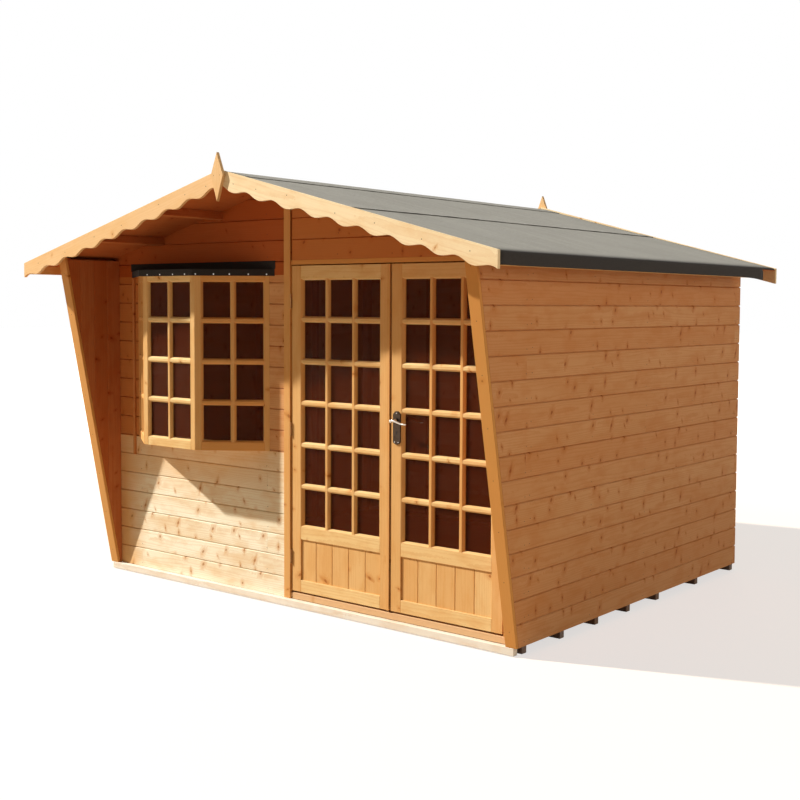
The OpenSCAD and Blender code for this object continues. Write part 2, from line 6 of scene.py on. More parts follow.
import bmesh
import bpy
from bpy.props import FloatProperty, FloatVectorProperty, IntProperty, PointerProperty
from mathutils import Matrix, Vector, noise


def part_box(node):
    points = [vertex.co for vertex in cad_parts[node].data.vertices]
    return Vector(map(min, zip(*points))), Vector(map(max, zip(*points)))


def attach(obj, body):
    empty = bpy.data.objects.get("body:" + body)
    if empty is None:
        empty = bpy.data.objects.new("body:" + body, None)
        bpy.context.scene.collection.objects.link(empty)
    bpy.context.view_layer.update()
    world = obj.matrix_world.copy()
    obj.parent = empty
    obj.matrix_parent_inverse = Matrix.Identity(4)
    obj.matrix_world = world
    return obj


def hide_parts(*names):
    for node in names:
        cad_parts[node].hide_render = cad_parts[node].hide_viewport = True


bl_info = {
    "name": "Summer house",
    "version": (1, 0, 0),
    "blender": (4, 5, 0),
    "location": "3D View > Sidebar > Summer house",
    "description": "Boards, joinery, roofing and fittings of a timber summer house",
    "category": "Object",
}

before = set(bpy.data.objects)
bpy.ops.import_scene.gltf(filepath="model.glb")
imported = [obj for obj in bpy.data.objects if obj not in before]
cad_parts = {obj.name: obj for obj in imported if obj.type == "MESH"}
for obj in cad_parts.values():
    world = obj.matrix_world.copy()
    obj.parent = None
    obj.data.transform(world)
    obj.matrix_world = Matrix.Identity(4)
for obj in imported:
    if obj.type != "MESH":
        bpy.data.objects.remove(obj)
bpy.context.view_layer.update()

X, Y, Z = Vector((1, 0, 0)), Vector((0, 1, 0)), Vector((0, 0, 1))


def low(node):
    """Lowest corner of a node of the frame."""
    return Vector(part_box(node)[0])


def high(node):
    """Highest corner of a node of the frame."""
    return Vector(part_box(node)[1])


FRONT = low("wall_below_bay").y
BACK = high("back_wall").y
SIDE = high("right_side_wall").x
INNER = low("right_side_wall").x
FOOT = low("right_side_wall").z
TOP = high("right_side_wall").z
BOARD_T = high("wall_below_bay").y - FRONT


# ---------------------------------------------------------------- sizes and colours


class HouseSizes(bpy.types.PropertyGroup):
    """Sizes of the boards, joinery and fittings, in metres."""

    cover: FloatProperty(name="Board cover", description="Height that one wall board covers", default=0.114,
                         unit="LENGTH")
    groove: FloatProperty(name="Groove height", description="Height of the groove over each board", default=0.0085,
                          unit="LENGTH")
    groove_depth: FloatProperty(name="Groove depth", description="Depth of the groove over each board",
                                default=0.0075, unit="LENGTH")
    lining_cover: FloatProperty(name="Lining cover", description="Width that one lining board covers",
                                default=0.094, unit="LENGTH")
    floor_cover: FloatProperty(name="Floor cover", description="Width that one floor board covers", default=0.099,
                               unit="LENGTH")
    roof_pitch: FloatProperty(name="Roof pitch", description="Slope of the roof", default=math.radians(14.5),
                              unit="ROTATION")
    wing_slope: FloatProperty(name="Wing slope", description="Forward slope of a wing's front edge",
                              default=math.radians(11), unit="ROTATION")
    wing_trim: FloatProperty(name="Wing cover board", description="Thickness of a wing's cover board",
                             default=0.018, unit="LENGTH")
    bar: FloatProperty(name="Bar face", description="Width of a glazing bar's flat face", default=0.013,
                       unit="LENGTH")
    mould: FloatProperty(name="Moulding", description="Width of a glazing bar's moulding", default=0.010,
                         unit="LENGTH")
    bead: FloatProperty(name="Stile moulding", description="Width of the moulding on a door stile",
                        default=0.015, unit="LENGTH")
    corner_stile: FloatProperty(name="Corner stile", description="Width of a bay stile at a corner", default=0.035,
                                unit="LENGTH")
    wall_stile: FloatProperty(name="Wall stile", description="Width of a bay stile at the wall", default=0.028,
                              unit="LENGTH")
    lap: FloatProperty(name="Felt lap", description="Distance of the felt's lap from the ridge", default=0.862,
                       unit="LENGTH")
    back_droop: FloatProperty(name="Back droop", description="How much steeper the back bargeboards lie",
                              default=math.radians(0.3), min=0.0, max=math.radians(1.0), subtype="ANGLE")
    flap_reach: FloatProperty(name="Flap reach", description="How far the bay's felt flap runs past its left side",
                              default=0.018, min=0.0, max=0.03, unit="LENGTH")
    rebate: FloatProperty(name="Rebate", description="Rebate along the left door's meeting stile",
                          default=0.015, min=0.0, max=0.03, unit="LENGTH")
    panel_gap: FloatProperty(name="Panel gap", description="Groove beside the strip between the front's panels",
                             default=0.009, min=0.0, max=0.02, unit="LENGTH")
    barge_depth: FloatProperty(name="Bargeboard", description="Mean depth of a bargeboard", default=0.083,
                               unit="LENGTH")
    scallop: FloatProperty(name="Scallop", description="Length of one scallop of the right front bargeboard",
                           default=0.190, unit="LENGTH")
    scallop_rise: FloatProperty(name="Scallop height", description="Height of a scallop", default=0.022,
                                unit="LENGTH")
    panel_boards: IntProperty(name="Panel boards", description="Number of boards in a door's lower panel",
                              default=5)
    panel_cover: FloatProperty(name="Panel cover", description="Width that one panel board covers",
                               default=0.115, unit="LENGTH")


class HouseColours(bpy.types.PropertyGroup):
    """Colours of the timber, felt and nails."""

    boards: FloatVectorProperty(name="Boards", description="Stained wall boards", subtype="COLOR", size=3,
                                default=(0.64, 0.305, 0.103))
    trim: FloatVectorProperty(name="Trim", description="Stained doors, sashes and strips", subtype="COLOR",
                              size=3, default=(0.77, 0.475, 0.166))
    # Partly painted shade: this colour is deepened and reddened for the timber in the shade under the roof.
    inner: FloatVectorProperty(name="Inner timber", description="Framing, purlins and roof boards",
                               subtype="COLOR", size=3, default=(0.50, 0.155, 0.040))
    # Painted light: a paler copy of the board colour, for the sunlit boards below the bay.
    painted_sunlit: FloatVectorProperty(name="Boards below the bay", description="Paler stained boards below the bay",
                                subtype="COLOR", size=3, default=(0.85, 0.69, 0.41))
    # Painted light: a paler copy of the trim colour, for the sunlit bargeboards and finials.
    barge: FloatVectorProperty(name="Bargeboards", description="Bargeboards and finials", subtype="COLOR", size=3,
                               default=(0.88, 0.655, 0.33))
    pale: FloatVectorProperty(name="Pale timber", description="Sill and edge board", subtype="COLOR", size=3,
                              default=(0.80, 0.675, 0.46))
    bearer: FloatVectorProperty(name="Bearers", description="Weathered bearers", subtype="COLOR", size=3,
                                default=(0.25, 0.18, 0.125))
    felt: FloatVectorProperty(name="Felt", description="Mineral felt of the roof", subtype="COLOR", size=3,
                              default=(0.342, 0.333, 0.303))
    # Partly painted shade: a much darker copy of the felt, for the felt turned down at the eaves and along the
    # felt's edges.
    fold: FloatVectorProperty(name="Eave felt", description="Mineral felt where it turns down at the eaves",
                              subtype="COLOR", size=3, default=(0.033, 0.029, 0.026))
    flashing: FloatVectorProperty(name="Bay felt", description="Dark felt over the bay", subtype="COLOR", size=3,
                                  default=(0.030, 0.027, 0.025))
    nail: FloatVectorProperty(name="Nails", description="Nail heads", subtype="COLOR", size=3,
                              default=(0.09, 0.06, 0.045))


def sizes():
    """The sizes kept with the scene."""
    return bpy.context.scene.house_sizes


def colours():
    """The colours kept with the scene."""
    return bpy.context.scene.house_colours


# ---------------------------------------------------------------- shapes

SHARP, FLAT = 0.5, 0.01  # edges that turn by more radians are eased, and by fewer are dissolved
WELD, TOUCH = 2e-5, 1e-6  # distances at which points are joined, and at which they lie on a plane
ARRIS = 0.0015  # usual width of an eased edge


def within(value, lo=0.0, hi=1.0):
    """A value kept between two limits."""
    return min(hi, max(lo, value))


def prism(points, push):
    """Solid from a flat closed outline pushed along a vector."""
    bm = bmesh.new()
    base = bm.faces.new([bm.verts.new(p) for p in points])
    moved = bmesh.ops.extrude_face_region(bm, geom=[base])["geom"]
    bmesh.ops.translate(bm, verts=[g for g in moved if isinstance(g, bmesh.types.BMVert)], vec=push)
    bmesh.ops.recalc_face_normals(bm, faces=bm.faces)
    return bm


def block(corner_a, corner_b):
    """Box between two corners."""
    a, b = Vector(corner_a), Vector(corner_b)
    bm = bmesh.new()
    bmesh.ops.create_cube(bm, size=1)
    bmesh.ops.scale(bm, vec=b - a, verts=bm.verts)
    bmesh.ops.translate(bm, vec=(a + b) / 2, verts=bm.verts)
    return bm


def turned(start, end, depth, segments, matrix):
    """Round solid between a start radius and an end radius, placed from its middle."""
    bm = bmesh.new()
    bmesh.ops.create_cone(bm, cap_ends=True, segments=segments, radius1=start, radius2=end, depth=depth)
    bmesh.ops.transform(bm, matrix=matrix, verts=bm.verts)
    return bm


def ease(bm, width=ARRIS, segments=1):
    """Rounds the sharp edges of a solid."""
    edges = [e for e in bm.edges if e.is_manifold and e.calc_face_angle(0) > SHARP]
    bmesh.ops.bevel(bm, geom=edges, offset=width, offset_type="OFFSET", affect="EDGES", segments=segments,
                    profile=0.5, material=-1, clamp_overlap=True)
    return bm


def past(direction, at):
    """Plane square to an axis, for cutting off what lies past it in the direction."""
    return Vector([abs(c) * at for c in direction]), direction


def cut(bm, *planes):
    """Removes what lies on the normal's side of each plane, and closes the cut."""
    for point, normal in planes:
        if not bm.faces:
            break
        geom = bm.verts[:] + bm.edges[:] + bm.faces[:]
        made = bmesh.ops.bisect_plane(bm, geom=geom, dist=TOUCH, plane_co=point, plane_no=normal,
                                      clear_outer=True)["geom_cut"]
        open_rim = [g for g in made if isinstance(g, bmesh.types.BMEdge) and g.is_boundary]
        if open_rim:
            bmesh.ops.edgeloop_fill(bm, edges=open_rim)
    return bm


def connected(bm):
    """Faces of a bmesh in groups that hang together, always in the same order."""
    taken = set()
    for start in bm.faces:
        if start in taken:
            continue
        taken.add(start)
        group = [start]
        for face in group:
            for other in [other for edge in face.edges for other in edge.link_faces]:
                if other not in taken:
                    taken.add(other)
                    group.append(other)
        yield group


def solids(node):
    """Solids of a node of the frame, each as its own bmesh with flat faces joined."""
    whole = bmesh.new()
    whole.from_mesh(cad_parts[node].data)
    bmesh.ops.remove_doubles(whole, verts=whole.verts, dist=WELD)
    found = []
    for group in connected(whole):
        bm = bmesh.new()
        known = {}
        for face in group:
            for v in face.verts:
                if v not in known:
                    known[v] = bm.verts.new(v.co)
            bm.faces.new([known[v] for v in face.verts])
        bmesh.ops.recalc_face_normals(bm, faces=bm.faces)
        bmesh.ops.dissolve_limit(bm, angle_limit=FLAT, verts=bm.verts, edges=bm.edges)
        found.append(bm)
    whole.free()
    return found


def bounds_of(bm):
    """Lowest and highest corner of a bmesh."""
    return tuple(Vector([pick(v.co[i] for v in bm.verts) for i in range(3)]) for pick in (min, max))


def middle_of(bm):
    """Middle of a bmesh's bounds."""
    a, b = bounds_of(bm)
    return (a + b) / 2


def place_in_log(rng):
    """Where in its log a timber was cut: along the grain, across it and out from the pith."""
    return Vector((rng.uniform(0, 40), rng.uniform(-0.05, 0.05), rng.uniform(0.01, 0.06)))


class Gather:
    """Solids joined in one mesh, each with its own grain direction, place in the log and tone."""

    def __init__(self, seed, tones=(0.3, 0.8)):
        self.rng = random.Random(seed)
        self.tones = tones
        self.bm = bmesh.new()
        self.bm.verts.layers.float_vector.new("grain")
        self.bm.verts.layers.float.new("tone")
        self.scrap = bpy.data.meshes.new("scrap")

    def add(self, bm, along=None, tone=None, shift=None):
        """Joins a solid; its grain runs along its longest edge unless a direction is given."""
        if not bm.faces:
            bm.free()
            return
        if along is None:
            longest = max(bm.edges, key=lambda e: e.calc_length())
            along = longest.verts[1].co - longest.verts[0].co
        along = Vector(along).normalized()
        end_grain = 0.3  # a face that leans further than this to the grain is an end
        sides = [f for f in bm.faces if abs(f.normal.dot(along)) < end_grain] or bm.faces[:]
        widest = max(sides, key=lambda f: f.calc_area())
        across = widest.normal.cross(along).normalized()
        normal = along.cross(across)
        centre = middle_of(bm)
        drawn = place_in_log(self.rng)
        shift = drawn if shift is None else shift
        tone = self.rng.uniform(*self.tones) if tone is None else tone
        grain = bm.verts.layers.float_vector.new("grain")
        shade = bm.verts.layers.float.new("tone")
        for v in bm.verts:
            p = v.co - centre
            v[grain] = Vector((p.dot(along), p.dot(across), p.dot(normal))) + shift
            v[shade] = tone
        bm.to_mesh(self.scrap)
        bm.free()
        self.bm.from_mesh(self.scrap)

    def finish(self, name, key, slot, nodes=(), body="house"):
        """Makes the object, with its material, body and the nodes that it replaces; the slot is not used."""
        mesh = bpy.data.meshes.new(name)
        self.bm.to_mesh(mesh)
        self.bm.free()
        bpy.data.meshes.remove(self.scrap)
        place(name, mesh, key, slot, nodes, body)


def place(name, mesh, key, slot, nodes=(), body="house"):
    """Object from a finished mesh, riding on its body."""
    mesh.materials.append(material(key))
    obj = bpy.data.objects.new(name, mesh)
    bpy.context.scene.collection.objects.link(obj)
    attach(obj, body)
    if nodes:
        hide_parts(*nodes)
    return obj


def dressed(gather, name, key, slot, nodes, width=ARRIS, along=None, segments=1, body="house"):
    """Object from some nodes' own solids with eased edges."""
    for node in nodes:
        for bm in solids(node):
            gather.add(ease(bm, width, segments), along)
    gather.finish(name, key, slot, nodes, body)


def nail_heads(spots, name, key="nail", slot="steel", body="house", radius=0.0026, rise=0.0006):
    """Small domed heads at a list of places and directions."""
    gather = Gather(name)
    for spot, out in spots:
        turn = Z.rotation_difference(out).to_matrix().to_4x4()
        gather.add(turned(radius, radius * 0.7, rise * 2, 8, Matrix.Translation(spot) @ turn), Z)
    gather.finish(name, key, slot, body=body)


# ---------------------------------------------------------------- materials

MIX_FACTOR, MIX_A, MIX_B, MIX_RESULT = 0, 6, 7, 2  # a Mix node's sockets when it mixes colours


class Nodes:
    """Shader nodes of one material or world."""

    def __init__(self, owner):
        owner.use_nodes = True
        self.tree = owner.node_tree
        self.tree.nodes.clear()

    def add(self, kind, inputs=None, **settings):
        """A node; each input is a number, a vector, a colour or another node's output."""
        made = self.tree.nodes.new(f"ShaderNode{kind}")
        for key, value in settings.items():
            setattr(made, key, value)
        for key, value in (inputs or {}).items():
            socket = made.inputs[key]
            if isinstance(value, bpy.types.NodeSocket):
                self.tree.links.new(value, socket)
            elif isinstance(value, (int, float)):
                socket.default_value = value
            else:
                socket.default_value = (*value, 1.0)[:len(socket.default_value)]
        return made

    def maths(self, operation, a, b):
        """Result of a Math node."""
        return self.add("Math", {0: a, 1: b}, operation=operation).outputs[0]

    def times(self, a, b):
        """Product of two numbers."""
        return self.maths("MULTIPLY", a, b)

    def plus(self, a, b):
        """Sum of two numbers."""
        return self.maths("ADD", a, b)

    def vector(self, operation, a, b):
        """Vector from a Vector Math node."""
        return self.add("VectorMath", {0: a, 1: b}, operation=operation).outputs["Vector"]

    def length(self, value):
        """Length of a vector."""
        return self.add("VectorMath", {0: value}, operation="LENGTH").outputs["Value"]

    def spread(self, value, lo, hi, to_lo=0.0, to_hi=1.0):
        """Smooth step of a value from one range to another."""
        ranges = {"Value": value, "From Min": lo, "From Max": hi, "To Min": to_lo, "To Max": to_hi}
        return self.add("MapRange", ranges, interpolation_type="SMOOTHSTEP").outputs["Result"]

    def mixed(self, factor, a, b):
        """Colour mixed from two colours."""
        made = self.add("Mix", {MIX_FACTOR: factor, MIX_A: a, MIX_B: b}, data_type="RGBA")
        return made.outputs[MIX_RESULT]

    def own_place(self):
        """Coordinates of the piece itself."""
        return self.add("TexCoord").outputs["Object"]

    def attribute(self, name, output):
        """What an attribute of the piece holds."""
        return self.add("Attribute", attribute_name=name).outputs[output]

    def stretched(self, spot, scale):
        """Coordinates scaled along each axis."""
        return self.add("Mapping", {"Vector": spot, "Scale": scale}).outputs[0]

    def cloud(self, spot, scale, detail):
        """Outputs of a noise texture."""
        return self.add("TexNoise", {"Vector": spot, "Scale": scale, "Detail": detail}).outputs

    def channels(self, texture):
        """Three numbers from a texture's colour."""
        return self.add("SeparateColor", {"Color": texture.outputs["Color"]}).outputs

    def seen(self):
        """1 for rays from the camera, a reflection or glass, and 0 for rays that only carry light."""
        rays = self.add("LightPath").outputs
        return self.maths("MAXIMUM", rays["Is Camera Ray"],
                          self.maths("MAXIMUM", rays["Is Glossy Ray"], rays["Is Transmission Ray"]))


class Finish(Nodes):
    """Nodes of a material that has one surface shader."""

    def __init__(self, name):
        self.material = bpy.data.materials.new(name)
        super().__init__(self.material)

    def done(self, surface, relief, strength, distance):
        """Joins the surface and its fine relief to the output, and gives the material."""
        bump = self.add("Bump", {"Height": relief, "Strength": strength, "Distance": distance})
        shader = self.add("BsdfPrincipled", {**surface, "Normal": bump.outputs[0]})
        self.add("OutputMaterial", {"Surface": shader.outputs[0]})
        return self.material


def tinted(colour, by):
    """A colour with each channel multiplied."""
    return tuple(c * k for c, k in zip(colour, by))


def timber_material(name, colour, knots, contrast=1.0, rough=0.6):
    """Stained softwood: growth rings, fibres, blotches, knots and a tone for each board."""
    n = Finish(name)
    grain = n.attribute("grain", "Vector")
    tone = n.attribute("tone", "Fac")

    def cloud(scale, detail):
        return n.cloud(n.stretched(grain, scale), 1.0, detail)

    # Each cell of a flat pattern may hold one knot, with a size, a lean and a ragged edge.
    flat = n.stretched(grain, (1.0, 1.0, 0.0))
    cells = n.add("TexVoronoi", {"Vector": flat, "Scale": 8.5}, voronoi_dimensions="2D")
    chance, girth, branching = n.channels(cells)
    present = n.maths("LESS_THAN", chance, knots)
    size = n.plus(n.times(girth, 0.85), 0.55)
    ragged = n.vector("MULTIPLY", cloud((70.0, 70.0, 0.0), 2.0)["Color"], (0.009, 0.009, 0.0))
    away = n.vector("SUBTRACT", flat, cells.outputs["Position"])
    away = n.vector("SUBTRACT", n.vector("ADD", away, ragged), (0.0045, 0.0045, 0.0))
    ahead, aside, _ = n.add("SeparateXYZ", {"Vector": away}).outputs
    lean = n.times(aside, n.maths("SUBTRACT", n.times(girth, 0.9), 0.45))
    away = n.add("CombineXYZ", {"X": n.plus(ahead, lean), "Y": aside}).outputs[0]

    def round_knot(reach, lo, hi):
        """1 in the middle of a knot, falling to 0 between two shares of its reach along and across."""
        far = n.maths("DIVIDE", n.length(n.vector("DIVIDE", away, (*reach, 1.0))), size)
        return n.times(n.spread(far, lo, hi, 1.0, 0.0), present)

    core = round_knot((0.0058, 0.0068), 0.7, 1.25)
    halo = round_knot((0.015, 0.021), 0.2, 1.9)
    branch = n.times(round_knot((0.0075, 0.036), 0.1, 1.4), n.maths("GREATER_THAN", branching, 0.62))

    # The rings waver along the board and swing round the knots.
    warp = n.vector("MULTIPLY", cloud((1.6, 9.0, 9.0), 2.0)["Color"], (0.0, 0.035, 0.035))
    swirl = n.add("CombineXYZ", {"Z": n.times(halo, 0.016)}).outputs[0]
    bent = n.vector("ADD", n.vector("ADD", grain, warp), swirl)
    rings = n.add("TexWave",
                  {"Vector": bent, "Scale": 34.0, "Distortion": 1.4, "Detail": 2.0, "Detail Scale": 2.0},
                  wave_type="RINGS", rings_direction="X", wave_profile="SAW")
    late = n.spread(rings.outputs["Fac"], 0.45, 1.0)
    fibre = cloud((5.0, 420.0, 420.0), 3.0)["Fac"]
    blotch = n.spread(cloud((7.0, 17.0, 17.0), 4.0)["Fac"], 0.42, 0.70)
    stain = n.spread(cloud((1.3, 5.0, 5.0), 2.0)["Fac"], 0.38, 0.66)

    base = n.mixed(tone, tinted(colour, (1.18, 1.50, 2.10)), tinted(colour, (0.86, 0.60, 0.40)))
    for mark, share, by in (
        (stain, 0.30 * contrast, (0.86, 0.72, 0.56)),
        (blotch, 0.42 * contrast, (0.86, 0.64, 0.44)),
        (late, 0.30 * contrast, (0.80, 0.58, 0.38)),
        (n.spread(fibre, 0.35, 0.75), 0.18 * contrast, (0.72, 0.52, 0.36)),
        (halo, 0.50, (0.76, 0.48, 0.26)),
        (branch, 0.48, (0.62, 0.34, 0.17)),
        (core, 0.68, (0.42, 0.20, 0.10)),
    ):
        base = n.mixed(n.times(mark, share), base, tinted(colour, by))
    dull = n.plus(n.times(fibre, 0.16), rough - 0.08)
    relief = n.plus(n.times(late, 0.6), n.times(fibre, 0.7))
    return n.done({"Base Color": base, "Roughness": dull, "Specular IOR Level": 0.14}, relief, 0.22, 0.0009)


def felt_material(name, colour, fold=None, speckle=0.5):
    """Mineral felt: crushed stone on bitumen, with slow stains; tone turns it to the fold's colour, which is
    partly painted shade.
    """
    n = Finish(name)
    spot = n.own_place()
    shade, height, _ = n.channels(n.add("TexVoronoi", {"Vector": spot, "Scale": 420.0}))
    bright = n.times(shade, speckle)
    base = n.mixed(bright, tinted(colour, (0.82, 0.82, 0.82)), tinted(colour, (1.55, 1.55, 1.5)))
    for pattern, lo, hi, share, by in (
        (n.cloud(spot, 70.0, 3.0), 0.38, 0.68, 0.30, (0.66, 0.66, 0.65)),
        (n.cloud(spot, 2.4, 4.0), 0.35, 0.70, 0.35, (0.72, 0.72, 0.70)),
        (n.cloud(n.stretched(spot, (1.2, 16.0, 1.2)), 1.0, 3.0), 0.45, 0.75, 0.22, (1.35, 1.34, 1.28)),
    ):
        base = n.mixed(n.spread(pattern["Fac"], lo, hi, 0.0, share), base, tinted(colour, by))
    if fold:
        dark = n.mixed(bright, fold, tinted(fold, (1.9, 1.9, 1.9)))
        base = n.mixed(n.attribute("tone", "Fac"), base, dark)
    relief = n.plus(height, n.cloud(spot, 260.0, 4.0)["Fac"])
    return n.done({"Base Color": base, "Roughness": 0.92, "Specular IOR Level": 0.20}, relief, 0.35, 0.0007)


def metal_material(name, colour, rough, wear):
    """Plated metal with fine scratches and dull patches."""
    n = Finish(name)
    spot = n.own_place()
    patch = n.cloud(spot, 90.0, 4.0)["Fac"]
    scratch = n.cloud(n.stretched(spot, (900.0, 900.0, 60.0)), 1.0, 2.0)["Fac"]
    base = n.mixed(n.spread(patch, 0.45, 0.7, 0.0, wear), colour, tinted(colour, (0.55, 0.50, 0.45)))
    dull = n.spread(scratch, 0.3, 0.8, rough, rough + 0.18)
    return n.done({"Base Color": base, "Metallic": 1.0, "Roughness": dull}, scratch, 0.08, 0.0002)


def glass_material(name):
    """Window glass: see-through, with a trace of dust and a faint ripple; its dark red-brown colour is painted
    shade for the dim room behind.
    """
    n = Finish(name)
    spot = n.own_place()
    dust = n.cloud(spot, 9.0, 5.0)["Fac"]
    # Painted shade: the dark red-brown base colour stands in for the dim room seen through the glass.
    surface = {
        "Base Color": n.mixed(n.spread(dust, 0.5, 0.8, 0.0, 0.6), (0.110, 0.020, 0.005), (0.135, 0.030, 0.009)),
        "Roughness": n.spread(dust, 0.4, 0.8, 0.02, 0.07),
        "Alpha": 0.34,
        "Specular IOR Level": 0.06,
    }
    return n.done(surface, n.cloud(spot, 3.0, 1.0)["Fac"], 0.05, 0.002)


MATERIALS = {}


def material(key):
    """One of the house's materials, made when first asked for."""
    if key not in MATERIALS:
        c = colours()
        maker, *details = {
            "boards": (timber_material, "stained_boards", c.boards, 0.62),
            "painted_sunlit": (timber_material, "pale_boards", c.painted_sunlit, 0.62),
            "trim": (timber_material, "stained_trim", c.trim, 0.30, 0.8),
            "inner": (timber_material, "inner_timber", c.inner, 0.4, 0.9, 0.7),
            "barge": (timber_material, "bargeboard_timber", c.barge, 0.25, 0.7),
            "pale": (timber_material, "pale_timber", c.pale, 0.25, 0.7),
            "bearer": (timber_material, "weathered_timber", c.bearer, 0.3, 1.0, 0.85),
            "felt": (felt_material, "roof_felt", c.felt, c.fold),
            "dark": (felt_material, "bay_felt", c.flashing, None, 0.35),
            "steel": (metal_material, "brassed_steel", (0.34, 0.17, 0.060), 0.50, 0.6),
            "chrome": (metal_material, "polished_lever", (0.60, 0.56, 0.50), 0.14, 0.35),
            # Painted reflection: the plate's near-black colour stands in for the dark surroundings that the
            # polished plate reflects.
            "plate": (metal_material, "tarnished_plate", (0.060, 0.043, 0.031), 0.24, 0.9),
            "nail": (metal_material, "nail_heads", c.nail, 0.45, 0.5),
            "clout": (metal_material, "clout_nails", (0.60, 0.60, 0.58), 0.35, 0.3),
            "glass": (glass_material, "window_glass"),
        }[key]
        MATERIALS[key] = maker(*details)
    return MATERIALS[key]


# ---------------------------------------------------------------- boards


def roof_planes():
    """Underside of the roof, as two planes."""
    p = sizes().roof_pitch
    ridge = Vector((0, 0, TOP + SIDE * math.tan(p)))
    return [(ridge, Vector((s * math.sin(p), 0, math.cos(p)))) for s in (1, -1)]


def wing_plane(offset):
    """Front edge of the wings; offset is measured back from the cover board's face."""
    slope = sizes().wing_slope
    start = Vector((0, low("front_edge_board").y + offset / math.cos(slope), FOOT))
    return start, Vector((0, -math.cos(slope), -math.sin(slope)))


def shiplap_outline(out):
    """Section of a wall board, as steps from its lower outer edge."""
    s = sizes()
    c, h, d, t = s.cover, s.groove, s.groove_depth, BOARD_T
    arris = 0.0008
    pairs = [(-t, 0), (-arris, 0), (0, arris), (0, c - h), (-0.2 * d, c - 0.80 * h),
             (-0.62 * d, c - 0.52 * h), (-d, c - 0.34 * h), (-d, c), (-t, c)]
    return [out * a + Z * b for a, b in pairs]


def clad(gather, nails, run, cuts, lines, key):
    """Rows of wall boards along a run, with butt joints and nails on the framing lines."""
    corner, along, out, length = run
    cover = sizes().cover
    joint_chance, half_gap = 0.55, 0.0004
    nail_wander, nail_height, nail_margin = 0.006, (0.020, 0.030), 0.012
    outline = shiplap_outline(out)
    for row in range(math.ceil((high("back_wall").z - FOOT) / cover)):
        rng = random.Random(f"{key} {row}")
        foot = corner + Z * (row * cover)
        joints = rng.sample(lines, 1) if len(lines) > 2 and rng.random() < joint_chance else []
        stops = [0.0, *joints, length]
        for a, b in zip(stops, stops[1:]):
            tone, shift = rng.uniform(*gather.tones), place_in_log(rng)
            a, b = a + (half_gap if a else 0), b - (half_gap if b < length else 0)
            start = foot + along * a
            board = cut(prism([start + step for step in outline], along * (b - a)), *cuts)
            if board.faces:
                whole = start + along * ((b - a) / 2) - out * (BOARD_T / 2) + Z * (cover / 2)
                moved = middle_of(board) - whole
                shift += Vector((moved.dot(along), moved.dot(out.cross(along)), moved.dot(out)))
            gather.add(board, along, tone, shift)
        for line in lines:
            spot = foot + along * (line + rng.uniform(-nail_wander, nail_wander)) + Z * rng.uniform(*nail_height)
            if all((spot - point).dot(normal) < -nail_margin for point, normal in cuts):
                nails.append((spot, out))


def stud_lines(node, axis, thick=0.06, tall=0.5):
    """Middles of a node's upright solids along an axis (0 is x, 1 is y)."""
    found = set()
    for bm in solids(node):
        a, b = bounds_of(bm)
        if b.z - a.z > tall and b[axis] - a[axis] < thick:
            found.add(round((a[axis] + b[axis]) / 2, 4))
        bm.free()
    return sorted(found)


def paint_shade_by_bay_and_wing(bm, sill):
    """Paints shade, as a deeper tone than the others, on the boards close under the bay and beside the left wing.
    """
    wing_from, wing_fade, bay_fade = 1.20, 0.20, 0.34
    for x in (wing_from, wing_from + wing_fade):
        bmesh.ops.bisect_plane(bm, geom=bm.verts[:] + bm.edges[:] + bm.faces[:], plane_co=(-x, 0, 0),
                               plane_no=X)
    tone = bm.verts.layers.float["tone"]
    for v in bm.verts:
        bay_shade = within(1.15 + (v.co.z - sill) / bay_fade)
        wing_shade = within((-v.co.x - wing_from) / wing_fade)
        # Painted shade: the tone deepens under the bay and beside the left wing.
        v[tone] += max(0.6 * bay_shade, 0.85 * wing_shade)


def board_side_walls(nails):
    """Boards of both side walls, cut to the wings' slope."""
    wing_reach, corner_post, front_nails, back_nails = 0.45, 0.06, 0.03, 0.04
    start_y = FRONT - wing_reach
    uprights = [y - start_y for y in stud_lines("wall_framing", 1) if y < BACK - corner_post]
    lines = [FRONT + front_nails - start_y, *uprights, BACK - back_nails - start_y]
    cuts = [wing_plane(sizes().wing_trim), past(Z, TOP)]
    for name, side in (("right", 1), ("left", -1)):
        gather = Gather(name, (0.38, 0.66))
        run = (Vector((side * SIDE, start_y, FOOT)), Y, X * side, BACK - start_y)
        clad(gather, nails, run, cuts, lines, name)
        gather.finish(f"{name}_wall_boards", "boards", "board_timber", [f"{name}_side_wall"])


def board_back_wall(nails):
    """Boards of the back wall, up to the roof."""
    corner_post, end_nails = 0.05, 0.03
    uprights = [x + INNER for x in stud_lines("wall_framing", 0) if abs(x) < INNER - corner_post]
    lines = [end_nails, *uprights, 2 * INNER - end_nails]
    gather = Gather("back")
    clad(gather, nails, (Vector((-INNER, BACK, FOOT)), X, Y, 2 * INNER), roof_planes(), lines, "back")
    gather.finish("back_wall_boards", "boards", "board_timber", ["back_wall"])


